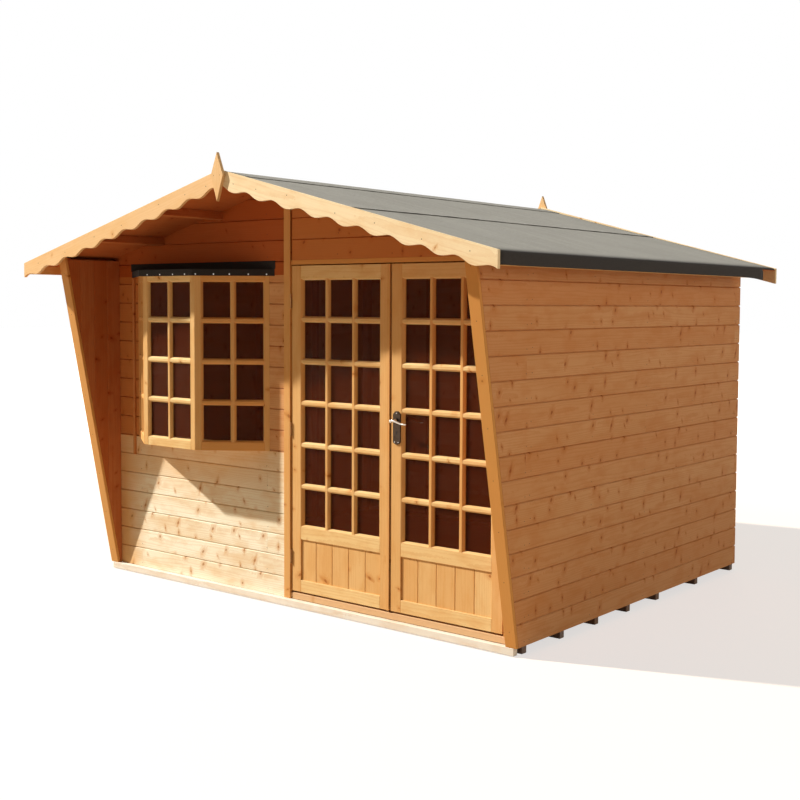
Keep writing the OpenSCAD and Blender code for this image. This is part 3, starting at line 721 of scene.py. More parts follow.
def board_front(nails):
    """Boards of the bay's panel and of the panel over the doors, with the packer in the groove between them."""
    run = (Vector((-INNER, FRONT, FOOT)), X, -Y, 2 * INNER)
    roof = roof_planes()
    edge, foot, head = high("wall_below_bay").x, high("wall_below_bay").z, low("wall_over_bay").z
    lines = [x + INNER for x in stud_lines("bay_panel_framing", 0)]

    # Painted light: the boards below the bay take the paler colour and the lightest tones.
    below = Gather("wall_below_bay", (0.05, 0.3))
    clad(below, nails, run, [past(X, edge), past(Z, foot)], lines, "front")
    # Painted shade: deeper tone under the bay and beside the left wing.
    paint_shade_by_bay_and_wing(below.bm, foot)
    below.finish("wall_below_bay_boards", "painted_sunlit", "board_timber", ["wall_below_bay"])
    # Painted shade: the boards over the bay take the deep inner colour and the darkest tones.
    over = Gather("wall_over_bay", (0.8, 1.0))
    clad(over, nails, run, [past(X, edge), past(-Z, head), *roof], lines, "front")
    over.finish("wall_over_bay_boards", "inner", "board_timber", ["wall_over_bay"])

    strips = [bounds_of(bm) for bm in solids("wall_beside_bay")]
    left_edge, right_edge = min(b.x for _, b in strips), max(a.x for a, _ in strips)
    band = [past(-Z, foot), past(Z, head)]
    # Painted shade: the boards left of the bay take the darkest tones, and those right of it lighter ones.
    beside = Gather("beside", (0.85, 1.0))
    clad(beside, nails, run, [*band, past(X, left_edge)], lines, "front")
    beside.tones = (0.15, 0.5)
    clad(beside, nails, run, [*band, past(-X, right_edge), past(X, edge)], lines, "front")
    beside.finish("wall_beside_bay_boards", "boards", "board_timber", ["wall_beside_bay"])

    panel, top = low("wall_over_doors"), high("wall_over_doors")
    groove = high("cover_strips").x + sizes().panel_gap
    packer_set_in = 0.009
    packer = block((panel.x, FRONT + packer_set_in, panel.z), (groove, top.y, high("ridge_cap").z))
    first_nails, studs, last_nails = 0.02, (0.35, 0.72, 1.08), 0.06
    lines = [panel.x + INNER + first_nails, *(INNER + x for x in studs), 2 * INNER - last_nails]
    # Painted shade: the boards over the doors and the packer take the darkest tones.
    doors = Gather("over doors", (0.9, 1.0))
    doors.add(cut(packer, *roof), Z, 1.0)
    clad(doors, nails, run, [past(-X, groove), past(-Z, panel.z), *roof], lines, "right panel")
    doors.finish("wall_over_doors_boards", "boards", "board_timber", ["wall_over_doors"])


def build_walls():
    """Shiplap boards and their nails on every wall."""
    nails = []
    board_side_walls(nails)
    board_back_wall(nails)
    board_front(nails)
    nail_heads(nails, "wall_nails")


def build_wings():
    """Linings, cover boards and nails of the wings."""
    s = sizes()
    a, b = low("wing_linings"), high("wing_linings")
    linings = solids("wing_linings")
    inside = min(abs(v.co.x) for v in linings[0].verts)
    chamfer = 0.0025
    lining = Gather("lining")
    for side in (1, -1):
        x0, x1 = side * inside, side * b.x
        face = x0 + side * chamfer
        for i in range(math.ceil((FRONT - a.y) / s.lining_cover)):
            y1 = FRONT - i * s.lining_cover
            y0 = y1 - s.lining_cover
            ring = [(x0, y0 + chamfer), (x0, y1 - chamfer), (face, y1), (x1, y1), (x1, y0), (face, y0)]
            board = prism([(x, y, FOOT) for x, y in ring], Z * (b.z - FOOT))
            lining.add(cut(board, wing_plane(s.wing_trim)), Z)
    lining.finish("wing_lining_boards", "inner", "board_timber", ["wing_linings"])
    dressed(Gather("covers", (0.8, 1.0)), "wing_cover_boards", "trim", "trim_timber", ["wing_covers"], 0.002)

    point, normal = wing_plane(0)
    rise = Vector((0, -math.sin(s.wing_slope), math.cos(s.wing_slope)))
    first, spacing, count = 0.08, 0.245, 8
    middle = (SIDE + inside) / 2
    nails = [(Vector((side * middle, 0, 0)) + point + rise * (first + i * spacing), normal)
             for side in (1, -1) for i in range(count)]
    nail_heads(nails, "wing_cover_nails")


def build_floor():
    """Bearers, floor boards, edge board and sill."""
    dressed(Gather("bearers"), "bearer_timbers", "bearer", "bearer_timber", ["floor_bearers"], 0.002)
    a, b = low("floor_boards"), high("floor_boards")
    count = math.ceil((b.y - a.y) / sizes().floor_cover)
    step = (b.y - a.y) / count
    half_gap, chamfer = 0.0003, 0.0015
    deck = Gather("deck")
    for i in range(count):
        y0, y1 = a.y + i * step + half_gap, a.y + (i + 1) * step - half_gap
        ring = [(y0, a.z), (y1, a.z), (y1, b.z - chamfer), (y1 - chamfer, b.z), (y0 + chamfer, b.z),
                (y0, b.z - chamfer)]
        deck.add(prism([(a.x, y, z) for y, z in ring], X * (b.x - a.x)), X)
    deck.finish("floor_deck_boards", "inner", "inner_timber", ["floor_boards"])
    dressed(Gather("pale", (0.3, 0.4)), "edge_board", "pale", "pale_timber", ["front_edge_board"], 0.002)
    dressed(Gather("sill", (0.9, 1.0)), "door_sill_board", "pale", "pale_timber", ["door_sill"], 0.003,
            segments=2)


def trim_arris(bm):
    """Chamfers a timber's upper outer edge where the felt bends down over the eave."""
    a, b = bounds_of(bm)
    side = 1 if a.x + b.x > 0 else -1
    eave = high("right_roof_felt")
    under_felt, chamfer = (-0.0025, -0.0026), 0.0085
    edge = eave.z - eave.x * math.tan(sizes().roof_pitch)
    corner = Vector((side * (eave.x + under_felt[0]), 0, edge + under_felt[1]))
    slope = Vector((side, 0, 1)).normalized()
    return cut(bm, (corner - slope * chamfer, slope))


def build_framing():
    """Studs, rails, purlins, roof boards and eave boards."""
    dressed(Gather("studs"), "studs_and_rails", "inner", "inner_timber", ["wall_framing", "bay_panel_framing"])
    dressed(Gather("purlins"), "purlin_timbers", "inner", "inner_timber", ["purlins"], 0.002)
    for seed, name, key, slot, node, along in (
        ("roof", "roof_deck", "inner", "inner_timber", "roof_boards", Y),
        ("eaves", "eave_timbers", "trim", "trim_timber", "eave_boards", None),
    ):
        gather = Gather(seed)
        for bm in solids(node):
            gather.add(ease(trim_arris(bm), 0.001), along)
        gather.finish(name, key, slot, [node])


def bargeboard(side, tail, scallop, first, depth, rise, front, back):
    """One bargeboard, plumb at both ends; its lower edge is scalloped when a rise is given."""
    pitch = sizes().roof_pitch
    down = Vector((-math.sin(pitch), 0, -math.cos(pitch)))
    along = Vector((-math.cos(pitch), 0, math.sin(pitch)))
    length = tail.x / math.cos(pitch)
    steps = math.ceil(10 * length / scallop)
    half_joint = 0.0003
    ring = [tail - along * 2 * depth, tail + along * (length + 2 * depth)]
    for i in range(steps + 1, -2, -1):
        s = i * length / steps
        wave = math.cos(2 * math.pi * (s - first) / scallop)
        ring.append(tail + along * s + down * (depth - rise / 2 * wave))
    bm = prism([Vector((side * p.x, front, p.z)) for p in ring], Y * (back - front))
    outwards = X * side
    return cut(bm, (outwards * tail.x, outwards), (outwards * half_joint, -outwards))


def build_strips():
    """Cover strips and door frame; the strip beside the bay is a piece of its own."""
    # Painted shade: the strips and the door frame take deep tones, and the strip beside the bay the darker board
    # colour.
    strips, bay_side = Gather("strips", (0.65, 0.8)), Gather("bay strip", (0.7, 0.8))
    for bm in solids("cover_strips"):
        beside_bay = bounds_of(bm)[1].x < low("bay_front_sash").x
        (bay_side if beside_bay else strips).add(ease(bm, 0.002, 2))
    bay_side.finish("bay_side_strip", "boards", "trim_timber")
    strips.finish("cover_strip_boards", "trim", "trim_timber", ["cover_strips"])
    dressed(Gather("frame", (0.85, 1.0)), "door_frame_timbers", "trim", "trim_timber", ["door_frame"])


def build_bargeboards(nails):
    """Scalloped bargeboards at the front, and plain ones at the back, which lie a little steeper."""
    s = sizes()
    slope = math.tan(s.roof_pitch)
    nail_places = ((0.10, 0.052), (0.26, 0.045), (0.47, 0.030), (0.78, 0.048), (1.02, 0.040), (1.29, 0.050),
                   (1.55, 0.040))
    for end, out, rise, extra in (("front", -Y, s.scallop_rise, 0.0), ("back", Y, 0.0, 0.007)):
        node = f"{end}_bargeboards"
        a, b = low(node), high(node)
        tail = Vector((b.x, 0, b.z - b.x * slope))
        boards = Gather(node)
        # Painted light: the right board takes a lighter tone than the left.
        for side, scallop, first, tone in ((1, s.scallop, 0.014, 0.40), (-1, s.scallop * 0.96, 0.022, 0.75)):
            board = bargeboard(side, tail, scallop, first, s.barge_depth + extra, rise, a.y, b.y)
            if end == "back":
                bmesh.ops.rotate(board, verts=board.verts, cent=(0, 0, b.z),
                                 matrix=Matrix.Rotation(side * s.back_droop, 3, "Y"))
            boards.add(ease(board), tone=tone)
        boards.finish(f"{end}_bargeboard_pair", "barge", "trim_timber", [node])
        face = a.y if end == "front" else b.y
        nails += [(Vector((side * x, face, b.z - x * slope - drop)), out)
                  for side in (1, -1) for x, drop in nail_places]


def build_trim():
    """Cover strips, door frame, bargeboards, finials and their nails."""
    nails = []
    build_strips()
    build_bargeboards(nails)
    dressed(Gather("finials", (0.6, 0.8)), "finial_boards", "barge", "trim_timber", ["finials"], 0.0012, Z)
    a, b = low("finials"), high("finials")
    shoulder, apart, set_in = b.z - 0.116, 0.022, 0.0006
    for side in (-1, 1):
        for y, out in ((a.y + set_in, -Y), (b.y - set_in, Y)):
            nails.append((Vector((side * apart, y, shoulder)), out))
    nail_heads(nails, "trim_nails", radius=0.003)


# ---------------------------------------------------------------- joinery


def moulding(edge, depth, mould):
    """Curve of a moulding, from its face to the glass."""
    curve = ((0.0, 0.0), (0.12, 0.03), (0.45, 0.25), (0.80, 0.55), (1.0, 0.86), (1.0, 1.0))
    return [(edge + mould * a, depth * b) for a, b in curve]


def bead_outline(depth, mould, set_in):
    """Section of a bead, as (across, in) pairs from its flat edge, which is let into the timber."""
    let_in = 0.004
    ring = moulding(0.0, depth, mould) + [(-let_in, depth), (-let_in, 0.0)]
    return [(a, b if b == 0 else b - set_in) for a, b in ring]


def bar_outline(width, depth, mould):
    """Section of a glazing bar, as (across, in) pairs from its middle."""
    right = moulding(width / 2, depth, mould)
    return right + [(-x, y) for x, y in reversed(right)]


def glazed_frame(put, x0, x1, z0, z1, depth, back, columns, rows, side):
    """Bars and beads of a glazed opening, in the frame's own x, in and up directions."""
    bar, mould = sizes().bar, sizes().mould
    set_in, cross_bar_in, let_in = 0.0012, 0.0006, 0.003
    past_glass = depth + 0.005

    def piece(outline, origin, across, along, length):
        points = [Vector(origin) + across * a + Y * b for a, b in outline]
        put(prism(points, along * length), along)

    for origin, across, along, length, width in (
        ((x0, set_in, z0), X, Z, z1 - z0, side),
        ((x1, set_in, z0), -X, Z, z1 - z0, side),
        ((x0, set_in, z0), Z, X, x1 - x0, mould),
        ((x0, set_in, z1), -Z, X, x1 - x0, mould),
    ):
        piece(bead_outline(depth, width, set_in), origin, across, along, length)
    full = bar_outline(bar, depth - set_in, mould)
    half = bar / 2 + let_in
    backing = [(-half, 0), (half, 0), (half, back), (-half, back)]
    inset = side - mould
    x0, x1 = x0 + inset, x1 - inset
    pane_x = (x1 - x0 - (columns - 1) * bar) / columns
    pane_z = (z1 - z0 - (rows - 1) * bar) / rows
    for i in range(1, columns):
        x = x0 + i * (pane_x + bar) - bar / 2
        piece(full, (x, set_in, z0), X, Z, z1 - z0)
        piece(backing, (x, past_glass, z0), X, Z, z1 - z0)
    for j in range(1, rows):
        z = z0 + j * (pane_z + bar) - bar / 2
        for i in range(columns):
            left = x0 + i * (pane_x + bar) - let_in
            piece(full, (left, set_in + cross_bar_in, z), Z, X, pane_x + 2 * let_in)
        piece(backing, (x0 - inset, past_glass, z), Z, X, x1 - x0 + 2 * inset)


def rebated_stile(lo, hi):
    """Meeting stile with a step along its outer edge, between two corners."""
    step_x, step_y = hi[0] - sizes().rebate, lo[1] + 0.010
    ring = [(lo[0], lo[1]), (step_x, lo[1]), (step_x, step_y), (hi[0], step_y), (hi[0], hi[1]), (lo[0], hi[1])]
    return ease(prism([(x, y, lo[2]) for x, y in ring], Z * (hi[2] - lo[2])), 0.0012)


def build_door(side):
    """One door: stiles, rails, bars and boarded panel, and the left door's meeting strip."""
    body = f"{side}_door"
    a, b = low(body), high(body)
    g0, g1 = low(f"{body}_glass"), high(f"{body}_glass")
    p0, p1 = low(f"{body}_panel"), high(f"{body}_panel")
    leaf = Gather(body)
    # Painted light: the rails take lighter tones than the stiles.
    tones = {"upright": (0.55, 0.80), "level": (0.25, 0.45)}
    shoulder, rail_in, glass_gap = 0.0003, 0.0004, 0.002

    def add(bm, along):
        leaf.add(bm, along, leaf.rng.uniform(*tones["upright" if along == Z else "level"]))

    stiles = [((a.x, a.y, a.z), (g0.x, b.y, b.z)), ((g1.x, a.y, a.z), (b.x, b.y, b.z))]
    if side == "left":
        add(rebated_stile(*stiles.pop()), Z)
    for lo, hi in stiles:
        add(ease(block(lo, hi), 0.0016, 2), Z)
    for foot, head in ((g1.z, b.z), (p1.z, g0.z), (a.z, p0.z)):
        rail = block((g0.x + shoulder, a.y + rail_in, foot), (g1.x - shoulder, b.y, head))
        add(ease(rail, 0.0016, 2), X)

    def put(bm, along):
        bmesh.ops.translate(bm, verts=bm.verts, vec=Y * a.y)
        add(bm, along)

    glazed_frame(put, g0.x, g1.x, g0.z, g1.z, g0.y - a.y, b.y - g1.y - glass_gap, 3, 6, sizes().bead)
    leaf.finish(f"{body}_joinery", "trim", "trim_timber", [body], body)

    panel = Gather(f"{body} panel", (0.4, 0.7))
    count, cover = sizes().panel_boards, sizes().panel_cover
    middle = (p0.x + p1.x) / 2
    seams = [middle + (i - count / 2) * cover for i in range(count + 1)]
    seams[0], seams[-1] = p0.x, p1.x
    chamfer, half_gap = 0.003, 0.0002
    for x0, x1 in zip(seams, seams[1:]):
        ring = [(x0 + chamfer, p0.y), (x1 - chamfer, p0.y), (x1 - half_gap, p0.y + chamfer),
                (x1 - half_gap, p1.y), (x0 + half_gap, p1.y), (x0 + half_gap, p0.y + chamfer)]
        panel.add(prism([(x, y, p0.z) for x, y in ring], Z * (p1.z - p0.z)), Z)
    panel.finish(f"{body}_boards", "trim", "board_timber", [f"{body}_panel"], body)
    if side == "left":
        dressed(Gather("meeting"), "meeting_edge_strip", "trim", "trim_timber", ["meeting_strip"], 0.0016,
                segments=2, body=body)


def build_doors():
    """Both doors."""
    build_door("left")
    build_door("right")


def bay_faces():
    """Plan of the bay: for each face its start, direction, inward direction and length."""
    left, right = low("bay_front_sash"), high("bay_front_sash")
    points = [
        Vector((low("bay_left_sash").x, FRONT, 0)),
        Vector((left.x, left.y, 0)),
        Vector((right.x, left.y, 0)),
        Vector((high("bay_right_sash").x, FRONT, 0)),
    ]
    faces = []
    for p, q in zip(points, points[1:]):
        along = (q - p).normalized()
        faces.append((p, along, Z.cross(along), (q - p).length))
    return faces


def stile_outline(width, mitre, thick):
    """Section of a bay stile, as (along, in) pairs from its mitred outer edge."""
    if mitre < width:
        return [(0, 0), (width, 0), (width, thick), (mitre, thick)]
    return [(0, 0), (width, 0), (width, thick * width / mitre)]


def build_sash(name, face, left, right, thick):
    """One sash of the bay; left and right give the width and mitre of its stiles."""
    start, along, inward, length = face
    # Painted light and shade: the left sash takes deep tones, the front sash's rails and bars lighter ones where
    # the sun falls, and the right sash's rails and bars deeper ones where it is shaded.
    tones, level_light = {"left": ((0.6, 0.85), 0.0), "front": ((0.35, 0.55), -0.3),
                         "right": ((0.5, 0.7), 0.2)}[name]
    depth, eased, shoulder, rail_in, glass_gap, wall_gap = 0.018, 0.0014, 0.0003, 0.0004, 0.006, 0.0002
    z0, z1 = low("bay_front_sash").z, high("bay_front_sash").z
    g0, g1 = low("bay_glass").z, high("bay_glass").z
    matrix = Matrix.Translation(start) @ Matrix((along, inward, Z)).transposed().to_4x4()
    sash = Gather(name, tones)

    def put(bm, direction, width=0.0):
        bmesh.ops.transform(bm, matrix=matrix, verts=bm.verts)
        cut(bm, past(Y, FRONT - wall_gap))
        tone = sash.rng.uniform(*tones) + (level_light if direction == X else 0)
        sash.add(ease(bm, width) if width else bm, matrix.to_3x3() @ direction, tone)

    put(prism([(x, y, z0) for x, y in stile_outline(*left, thick)], Z * (z1 - z0)), Z, eased)
    put(prism([(length - x, y, z0) for x, y in stile_outline(*right, thick)], Z * (z1 - z0)), Z, eased)
    near, far = left[0], length - right[0]
    for lo, hi in ((z0, g0), (g1, z1)):
        put(block((near + shoulder, rail_in, lo), (far - shoulder, thick, hi)), X, eased)
    glazed_frame(put, near, far, g0, g1, depth, thick - depth - glass_gap, 2, 4, sizes().mould)
    sash.finish(f"bay_{name}_joinery", "trim", "trim_timber", [f"bay_{name}_sash"])


def build_bay():
    """Sashes, board, head, felt and felt nails of the bay window."""
    s = sizes()
    faces = bay_faces()
    front = low("bay_front_sash")
    thick = high("bay_front_sash").y - front.y
    corner = (s.corner_stile, thick * math.tan(faces[1][1].angle(faces[0][1]) / 2))
    wall = (s.wall_stile, thick * faces[0][1].x / faces[0][2].x)
    build_sash("left", faces[0], wall, corner, thick)
    build_sash("front", faces[1], corner, corner, thick)
    build_sash("right", faces[2], corner, wall, thick)
    dressed(Gather("board"), "bay_board_and_head", "trim", "trim_timber", ["bay_board", "bay_head"], 0.002, X)

    cover = Gather("flashing")
    for bm in solids("bay_flashing"):
        a, b = bounds_of(bm)
        left_flap = b.y - a.y > 0.1 and b.x < front.x + 0.05
        for v in bm.verts:
            if left_flap and v.co.y > FRONT - 0.05:
                v.co.x -= s.flap_reach
        cover.add(ease(bm, 0.0008))
    cover.finish("bay_felt", "dark", "roof_felt", ["bay_flashing"])

    edge = low("bay_flashing")
    overhang, over_edge = front.y - edge.y, 0.009
    shares = ((0.3,), (0.15, 0.40, 0.65, 0.88), (0.03, 0.27, 0.48, 0.73, 0.97))
    nails = [(start + along * length * share - inward * overhang + Z * (edge.z + over_edge), -inward)
             for (start, along, inward, length), places in zip(faces, shares) for share in places]
    nail_heads(nails, "bay_felt_nails", "clout", radius=0.0048, rise=0.0009)


# ---------------------------------------------------------------- roof felt


def paint_edge_shadow(bm, edge):
    """Paints shadow along the felt's cut edges as a dark tone, and lifts them unevenly."""
    tone = bm.verts.layers.float["tone"]
    for v in bm.verts:
        if abs(v.co.x) > edge - 0.0001:
            uneven = noise.noise(Vector((0, v.co.y * 9.0, v.co.x)))
            # Painted shadow: dark tone along the edge, where the lifted edge casts shadow.
            v[tone] = within(0.75 + 1.2 * uneven, 0.25)
            v.co.z += 0.0016 * max(0.0, uneven + 0.25)


def fold_down(bm, bend, end):
    """Turns felt dark towards its bend, partly as painted shade, lets the fold sag at the back, and ends it there.
    """
    tone = bm.verts.layers.float["tone"]
    droop, droop_length = 0.012, 0.35
    for v in bm.verts:
        out = abs(v.co.x) - bend
        past_bend = within((out - 0.006) / 0.006)
        near_end = within((v.co.y - end + droop_length) / droop_length)
        v.co.z -= droop * past_bend * near_end ** 2
        # Partly painted shade: darker over the last few centimetres before the bend and over the fold.
        v[tone] = within((out + 0.075) / 0.08) ** 1.5
    middles = [(f, f.calc_center_median()) for f in bm.faces]
    surplus = [f for f, at in middles if at.y > end and abs(at.x) > bend + 0.008]
    bmesh.ops.delete(bm, geom=surplus, context="FACES")


def sheet(name, profile, y0, y1, steps, ripple, nodes=(), fold=None):
    """Felt sheet from a section in x and z, run along the roof; a fold has a bend in x and an end in y."""
    bm = bmesh.new()
    verts = [bm.verts.new((x, y0, z)) for x, z in profile]
    edges = [bm.edges.new(pair) for pair in zip(verts, verts[1:])]
    for _ in range(steps):
        made = bmesh.ops.extrude_edge_only(bm, edges=edges)["geom"]
        edges = [g for g in made if isinstance(g, bmesh.types.BMEdge)]
        moved = [g for g in made if isinstance(g, bmesh.types.BMVert)]
        bmesh.ops.translate(bm, verts=moved, vec=Y * ((y1 - y0) / steps))
    for v in bm.verts:
        wave = noise.noise(Vector((v.co.x * 2.5, v.co.y * 2.2, 3.0 + v.co.z)))
        small = noise.noise(Vector((v.co.x * 9, v.co.y * 11, 7.0)))
        v.co.z += ripple * (wave * 0.7 + small * 0.3)
    bmesh.ops.recalc_face_normals(bm, faces=bm.faces)
    if sum(f.normal.z for f in bm.faces) < 0:
        bmesh.ops.reverse_faces(bm, faces=bm.faces)
    bm.verts.layers.float.new("tone")
    if fold:
        fold_down(bm, *fold)
    else:
        paint_edge_shadow(bm, max(abs(x) for x, _ in profile))
    for f in bm.faces:
        f.smooth = True
    mesh = bpy.data.meshes.new(name)
    bm.to_mesh(mesh)
    bm.free()
    shell = place(name, mesh, "felt", "roof_felt", nodes).modifiers.new("thickness", "SOLIDIFY")
    shell.thickness = 0.0024
    shell.offset = -1


def build_roof():
    """Felt sheets, folds over the eaves, the ridge cap and the nails of the laps."""
    lap = sizes().lap
    fall = math.tan(sizes().roof_pitch)
    a, b = low("right_roof_felt"), high("right_roof_felt")
    y0, y1, eave = a.y, b.y, b.x
    bend, nail_count, nail_margin, nail_in = eave - 0.014, 7, 0.2, 0.018

    def top(x):
        return b.z - abs(x) * fall

    lower = [(x, top(x) - 0.0006) for x in (lap - 0.09, lap - 0.03, 1.0, 1.2, 1.4, 1.52, eave - 0.10,
                                            eave - 0.07, eave - 0.045, eave - 0.028, eave - 0.016)]
    lower += [(eave - 0.010, top(eave - 0.010) - 0.0010), (eave - 0.005, top(eave - 0.005) - 0.0024),
              (eave - 0.0018, top(eave) - 0.0062), (eave - 0.0004, top(eave) - 0.012),
              (eave, top(eave) - 0.022), (eave, top(eave) - 0.036), (eave - 0.0004, a.z + 0.012),
              (eave - 0.001, a.z + 0.002)]
    upper = [(x, top(x)) for x in (0.004, 0.15, 0.35, 0.55, 0.75)]
    upper += [(lap - back, top(lap - back) + lift) for back, lift in (
        (0.10, 0.0003), (0.07, 0.0024), (0.02, 0.0028), (0.005, 0.0030), (0.0, 0.0030))]
    nails = []
    for name, side in (("right", 1), ("left", -1)):
        sheet(f"{name}_lower_felt", [(side * x, z) for x, z in lower], y0, y1, 64, 0.0015,
              [f"{name}_roof_felt"], (bend, high("eave_boards").y))
        sheet(f"{name}_upper_felt", [(side * x, z) for x, z in upper], y0, y1, 60, 0.0016)
        for k in range(nail_count):
            y = y0 + nail_margin + k * (y1 - y0 - 2 * nail_margin) / (nail_count - 1)
            nails.append((Vector((side * (lap - nail_in), y, top(lap - nail_in) + 0.0032)), Z))
    cap = high("ridge_cap")
    crown = [(x, top(x) + 0.0026 + lift) for x, lift in (
        (-cap.x, -0.0002), (-cap.x + 0.006, 0.0), (-cap.x + 0.02, 0.0006), (-0.05, 0.0006), (-0.02, -0.001),
        (0, -0.0035))]
    crown += [(-x, z) for x, z in reversed(crown[:-1])]
    sheet("ridge_felt", crown, y0, y1, 60, 0.0014, ["ridge_cap"])
    nail_heads(nails, "felt_nails", "clout", radius=0.004, rise=0.0008)


# ---------------------------------------------------------------- fittings


def build_plates(middle, spindle):
    """Lock plates with their bosses and screws."""
    a, b = low("lock_plates"), high("lock_plates")
    half, up, down = (b.x - a.x) / 2, b.z - spindle, spindle - a.z
    thick, rounding, boss_depth = 0.007, 0.0028, 0.006
    upper = ((0.30, 1.0), (0.62, 0.91), (0.70, 0.80), (0.98, 0.72), (1.0, 0.60))
    lower = ((1.0, 0.86), (0.92, 0.93), (0.62, 0.96), (0.30, 1.0))
    outline = [(half * w, spindle + up * h) for w, h in upper]
    outline += [(half * w, spindle - down * h) for w, h in lower]
    ring = outline + [(-w, z) for w, z in reversed(outline)]
    plates = Gather("plates")
    for back, face, out in ((a.y + thick, a.y, 1), (b.y - thick, b.y, -1)):
        bm = prism([(middle + w, min(back, face), z) for w, z in ring], Y * thick)
        edges = [e for e in bm.edges if all(abs(v.co.y - face) < TOUCH for v in e.verts)]
        bmesh.ops.bevel(bm, geom=edges, offset=rounding, offset_type="OFFSET", affect="EDGES", segments=3,
                        profile=0.5, material=-1)
        plates.add(bm, Z)
        spot = Matrix.Translation((middle, face - out * boss_depth / 2, spindle))
        turn = Matrix.Rotation(math.radians(90 * out), 4, "X")
        plates.add(turned(0.0115, 0.0098, boss_depth, 32, spot @ turn), Z)
    plates.finish("lock_plate_pair", "plate", "chrome", ["lock_plates"], "right_door")
    screws = []
    for x, z in ((0, spindle + up * 0.78), (-0.011, spindle - down * 0.90), (0.011, spindle - down * 0.90)):
        screws.append((Vector((middle + x, a.y, z)), -Y))
        screws.append((Vector((middle + x, b.y, z)), Y))
    nail_heads(screws, "plate_screws", "clout", "chrome", "right_door", radius=0.0034, rise=0.0007)


def build_keyholes(middle, spindle):
    """Keyholes on both faces of the lock: a round hole over a slot, laid on the plate as thin dark shapes."""
    radius, below, slot_foot = 0.0042, 0.058, 0.072
    half_slot, half_deep, proud = 0.0018, 0.0003, 0.0002
    turn = Matrix.Rotation(math.radians(90), 4, "X")
    keyholes = Gather("keyholes")
    for y in (low("lock_plates").y - proud, high("lock_plates").y + proud):
        spot = Matrix.Translation((middle, y, spindle - below))
        keyholes.add(turned(radius, radius, 2 * half_deep, 20, spot @ turn), Z)
        keyholes.add(block((middle - half_slot, y - half_deep, spindle - slot_foot),
                           (middle + half_slot, y + half_deep, spindle - below)), Z)
    # Painted shade: the keyholes are dark shapes laid on the plate, standing in for holes.
    keyholes.finish("keyholes", "dark", "steel", body="right_door")


def build_lever(middle, spindle):
    """Sprung lever: two curved arms on balls, joined by a neck."""
    a, b = low("lever_handle"), high("lever_handle")
    arm_in, quarter = 0.008, math.radians(90)
    path = ((0.0, 0.0), (0.012, 0.0022), (0.027, 0.0008), (0.043, -0.0048), (0.060, -0.0098),
            (0.077, -0.0120), (0.092, -0.0116), (0.098, -0.0114))
    radii = (0.0080, 0.0076, 0.0066, 0.0056, 0.0048, 0.0044, 0.0048, 0.0026)
    lever = bmesh.new()
    for y in (a.y + arm_in, b.y - arm_in):
        rings = []
        for (x, z), radius in zip(path, radii):
            made = bmesh.ops.create_circle(lever, cap_ends=False, segments=14, radius=radius)["verts"]
            bmesh.ops.rotate(lever, verts=made, matrix=Matrix.Rotation(quarter, 3, "Y"), cent=(0, 0, 0))
            bmesh.ops.translate(lever, verts=made, vec=(middle + x, y, spindle + z))
            rings.append([e for e in lever.edges if all(v in made for v in e.verts)])
        for p, q in zip(rings, rings[1:]):
            bmesh.ops.bridge_loops(lever, edges=p + q)
        for end in (rings[0], rings[-1]):
            bmesh.ops.edgeloop_fill(lever, edges=end)
        ball = bmesh.ops.create_uvsphere(lever, u_segments=20, v_segments=12, radius=0.0098)["verts"]
        bmesh.ops.translate(lever, verts=ball, vec=(middle, y, spindle))
    neck = bmesh.ops.create_cone(lever, cap_ends=True, segments=24, radius1=0.0072, radius2=0.0072,
                                 depth=b.y - a.y - 2 * arm_in)["verts"]
    bmesh.ops.rotate(lever, verts=neck, matrix=Matrix.Rotation(quarter, 3, "X"), cent=(0, 0, 0))
    bmesh.ops.translate(lever, verts=neck, vec=(middle, (a.y + b.y) / 2, spindle))
    bmesh.ops.recalc_face_normals(lever, faces=lever.faces)
    for f in lever.faces:
        f.smooth = True
    mesh = bpy.data.meshes.new("lever_pair")
    lever.to_mesh(mesh)
    lever.free()
    place("lever_pair", mesh, "chrome", "chrome", ["lever_handle"], "lever")


def build_handle():
    """Lock plates, keyholes and lever, round the lever's spindle."""
    middle = (low("lock_plates").x + high("lock_plates").x) / 2
    spindle = (low("lever_handle").z + high("lever_handle").z) / 2
    build_plates(middle, spindle)
    build_keyholes(middle, spindle)
    build_lever(middle, spindle)


def build_metal_and_glass():
    """Finishes of the hinges and the glass, which keep the frame's own shapes."""
    for key, nodes in (
        ("glass", ("left_door_glass", "right_door_glass", "bay_glass")),
        ("steel", ("left_door_hinges", "right_door_hinges", "jamb_hinge_leaves")),
    ):
        for node in nodes:
            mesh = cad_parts[node].data
            mesh.materials.clear()
            mesh.materials.append(material(key))


# ---------------------------------------------------------------- stage


def studio_floor(scene):
    """Pale floor that glows for the camera and lights the house only softly."""
    bm = bmesh.new()
    bmesh.ops.create_grid(bm, x_segments=4, y_segments=4, size=60)
    mesh = bpy.data.meshes.new("studio_floor")
    bm.to_mesh(mesh)
    bm.free()
    surface = bpy.data.materials.new("studio_floor")
    n = Nodes(surface)
    fade = n.spread(n.length(n.own_place()), 3.0, 9.0, 0.64, 1.1)
    glow = n.add("Emission", {"Strength": n.times(n.seen(), fade), "Color": (1, 1, 1)})
    diffuse = n.add("BsdfDiffuse", {"Color": (0.50, 0.40, 0.30)})
    both = n.add("AddShader", {0: diffuse.outputs[0], 1: glow.outputs[0]})
    n.add("OutputMaterial", {"Surface": both.outputs[0]})
    mesh.materials.append(surface)
    obj = bpy.data.objects.new("studio_floor", mesh)
    scene.collection.objects.link(obj)


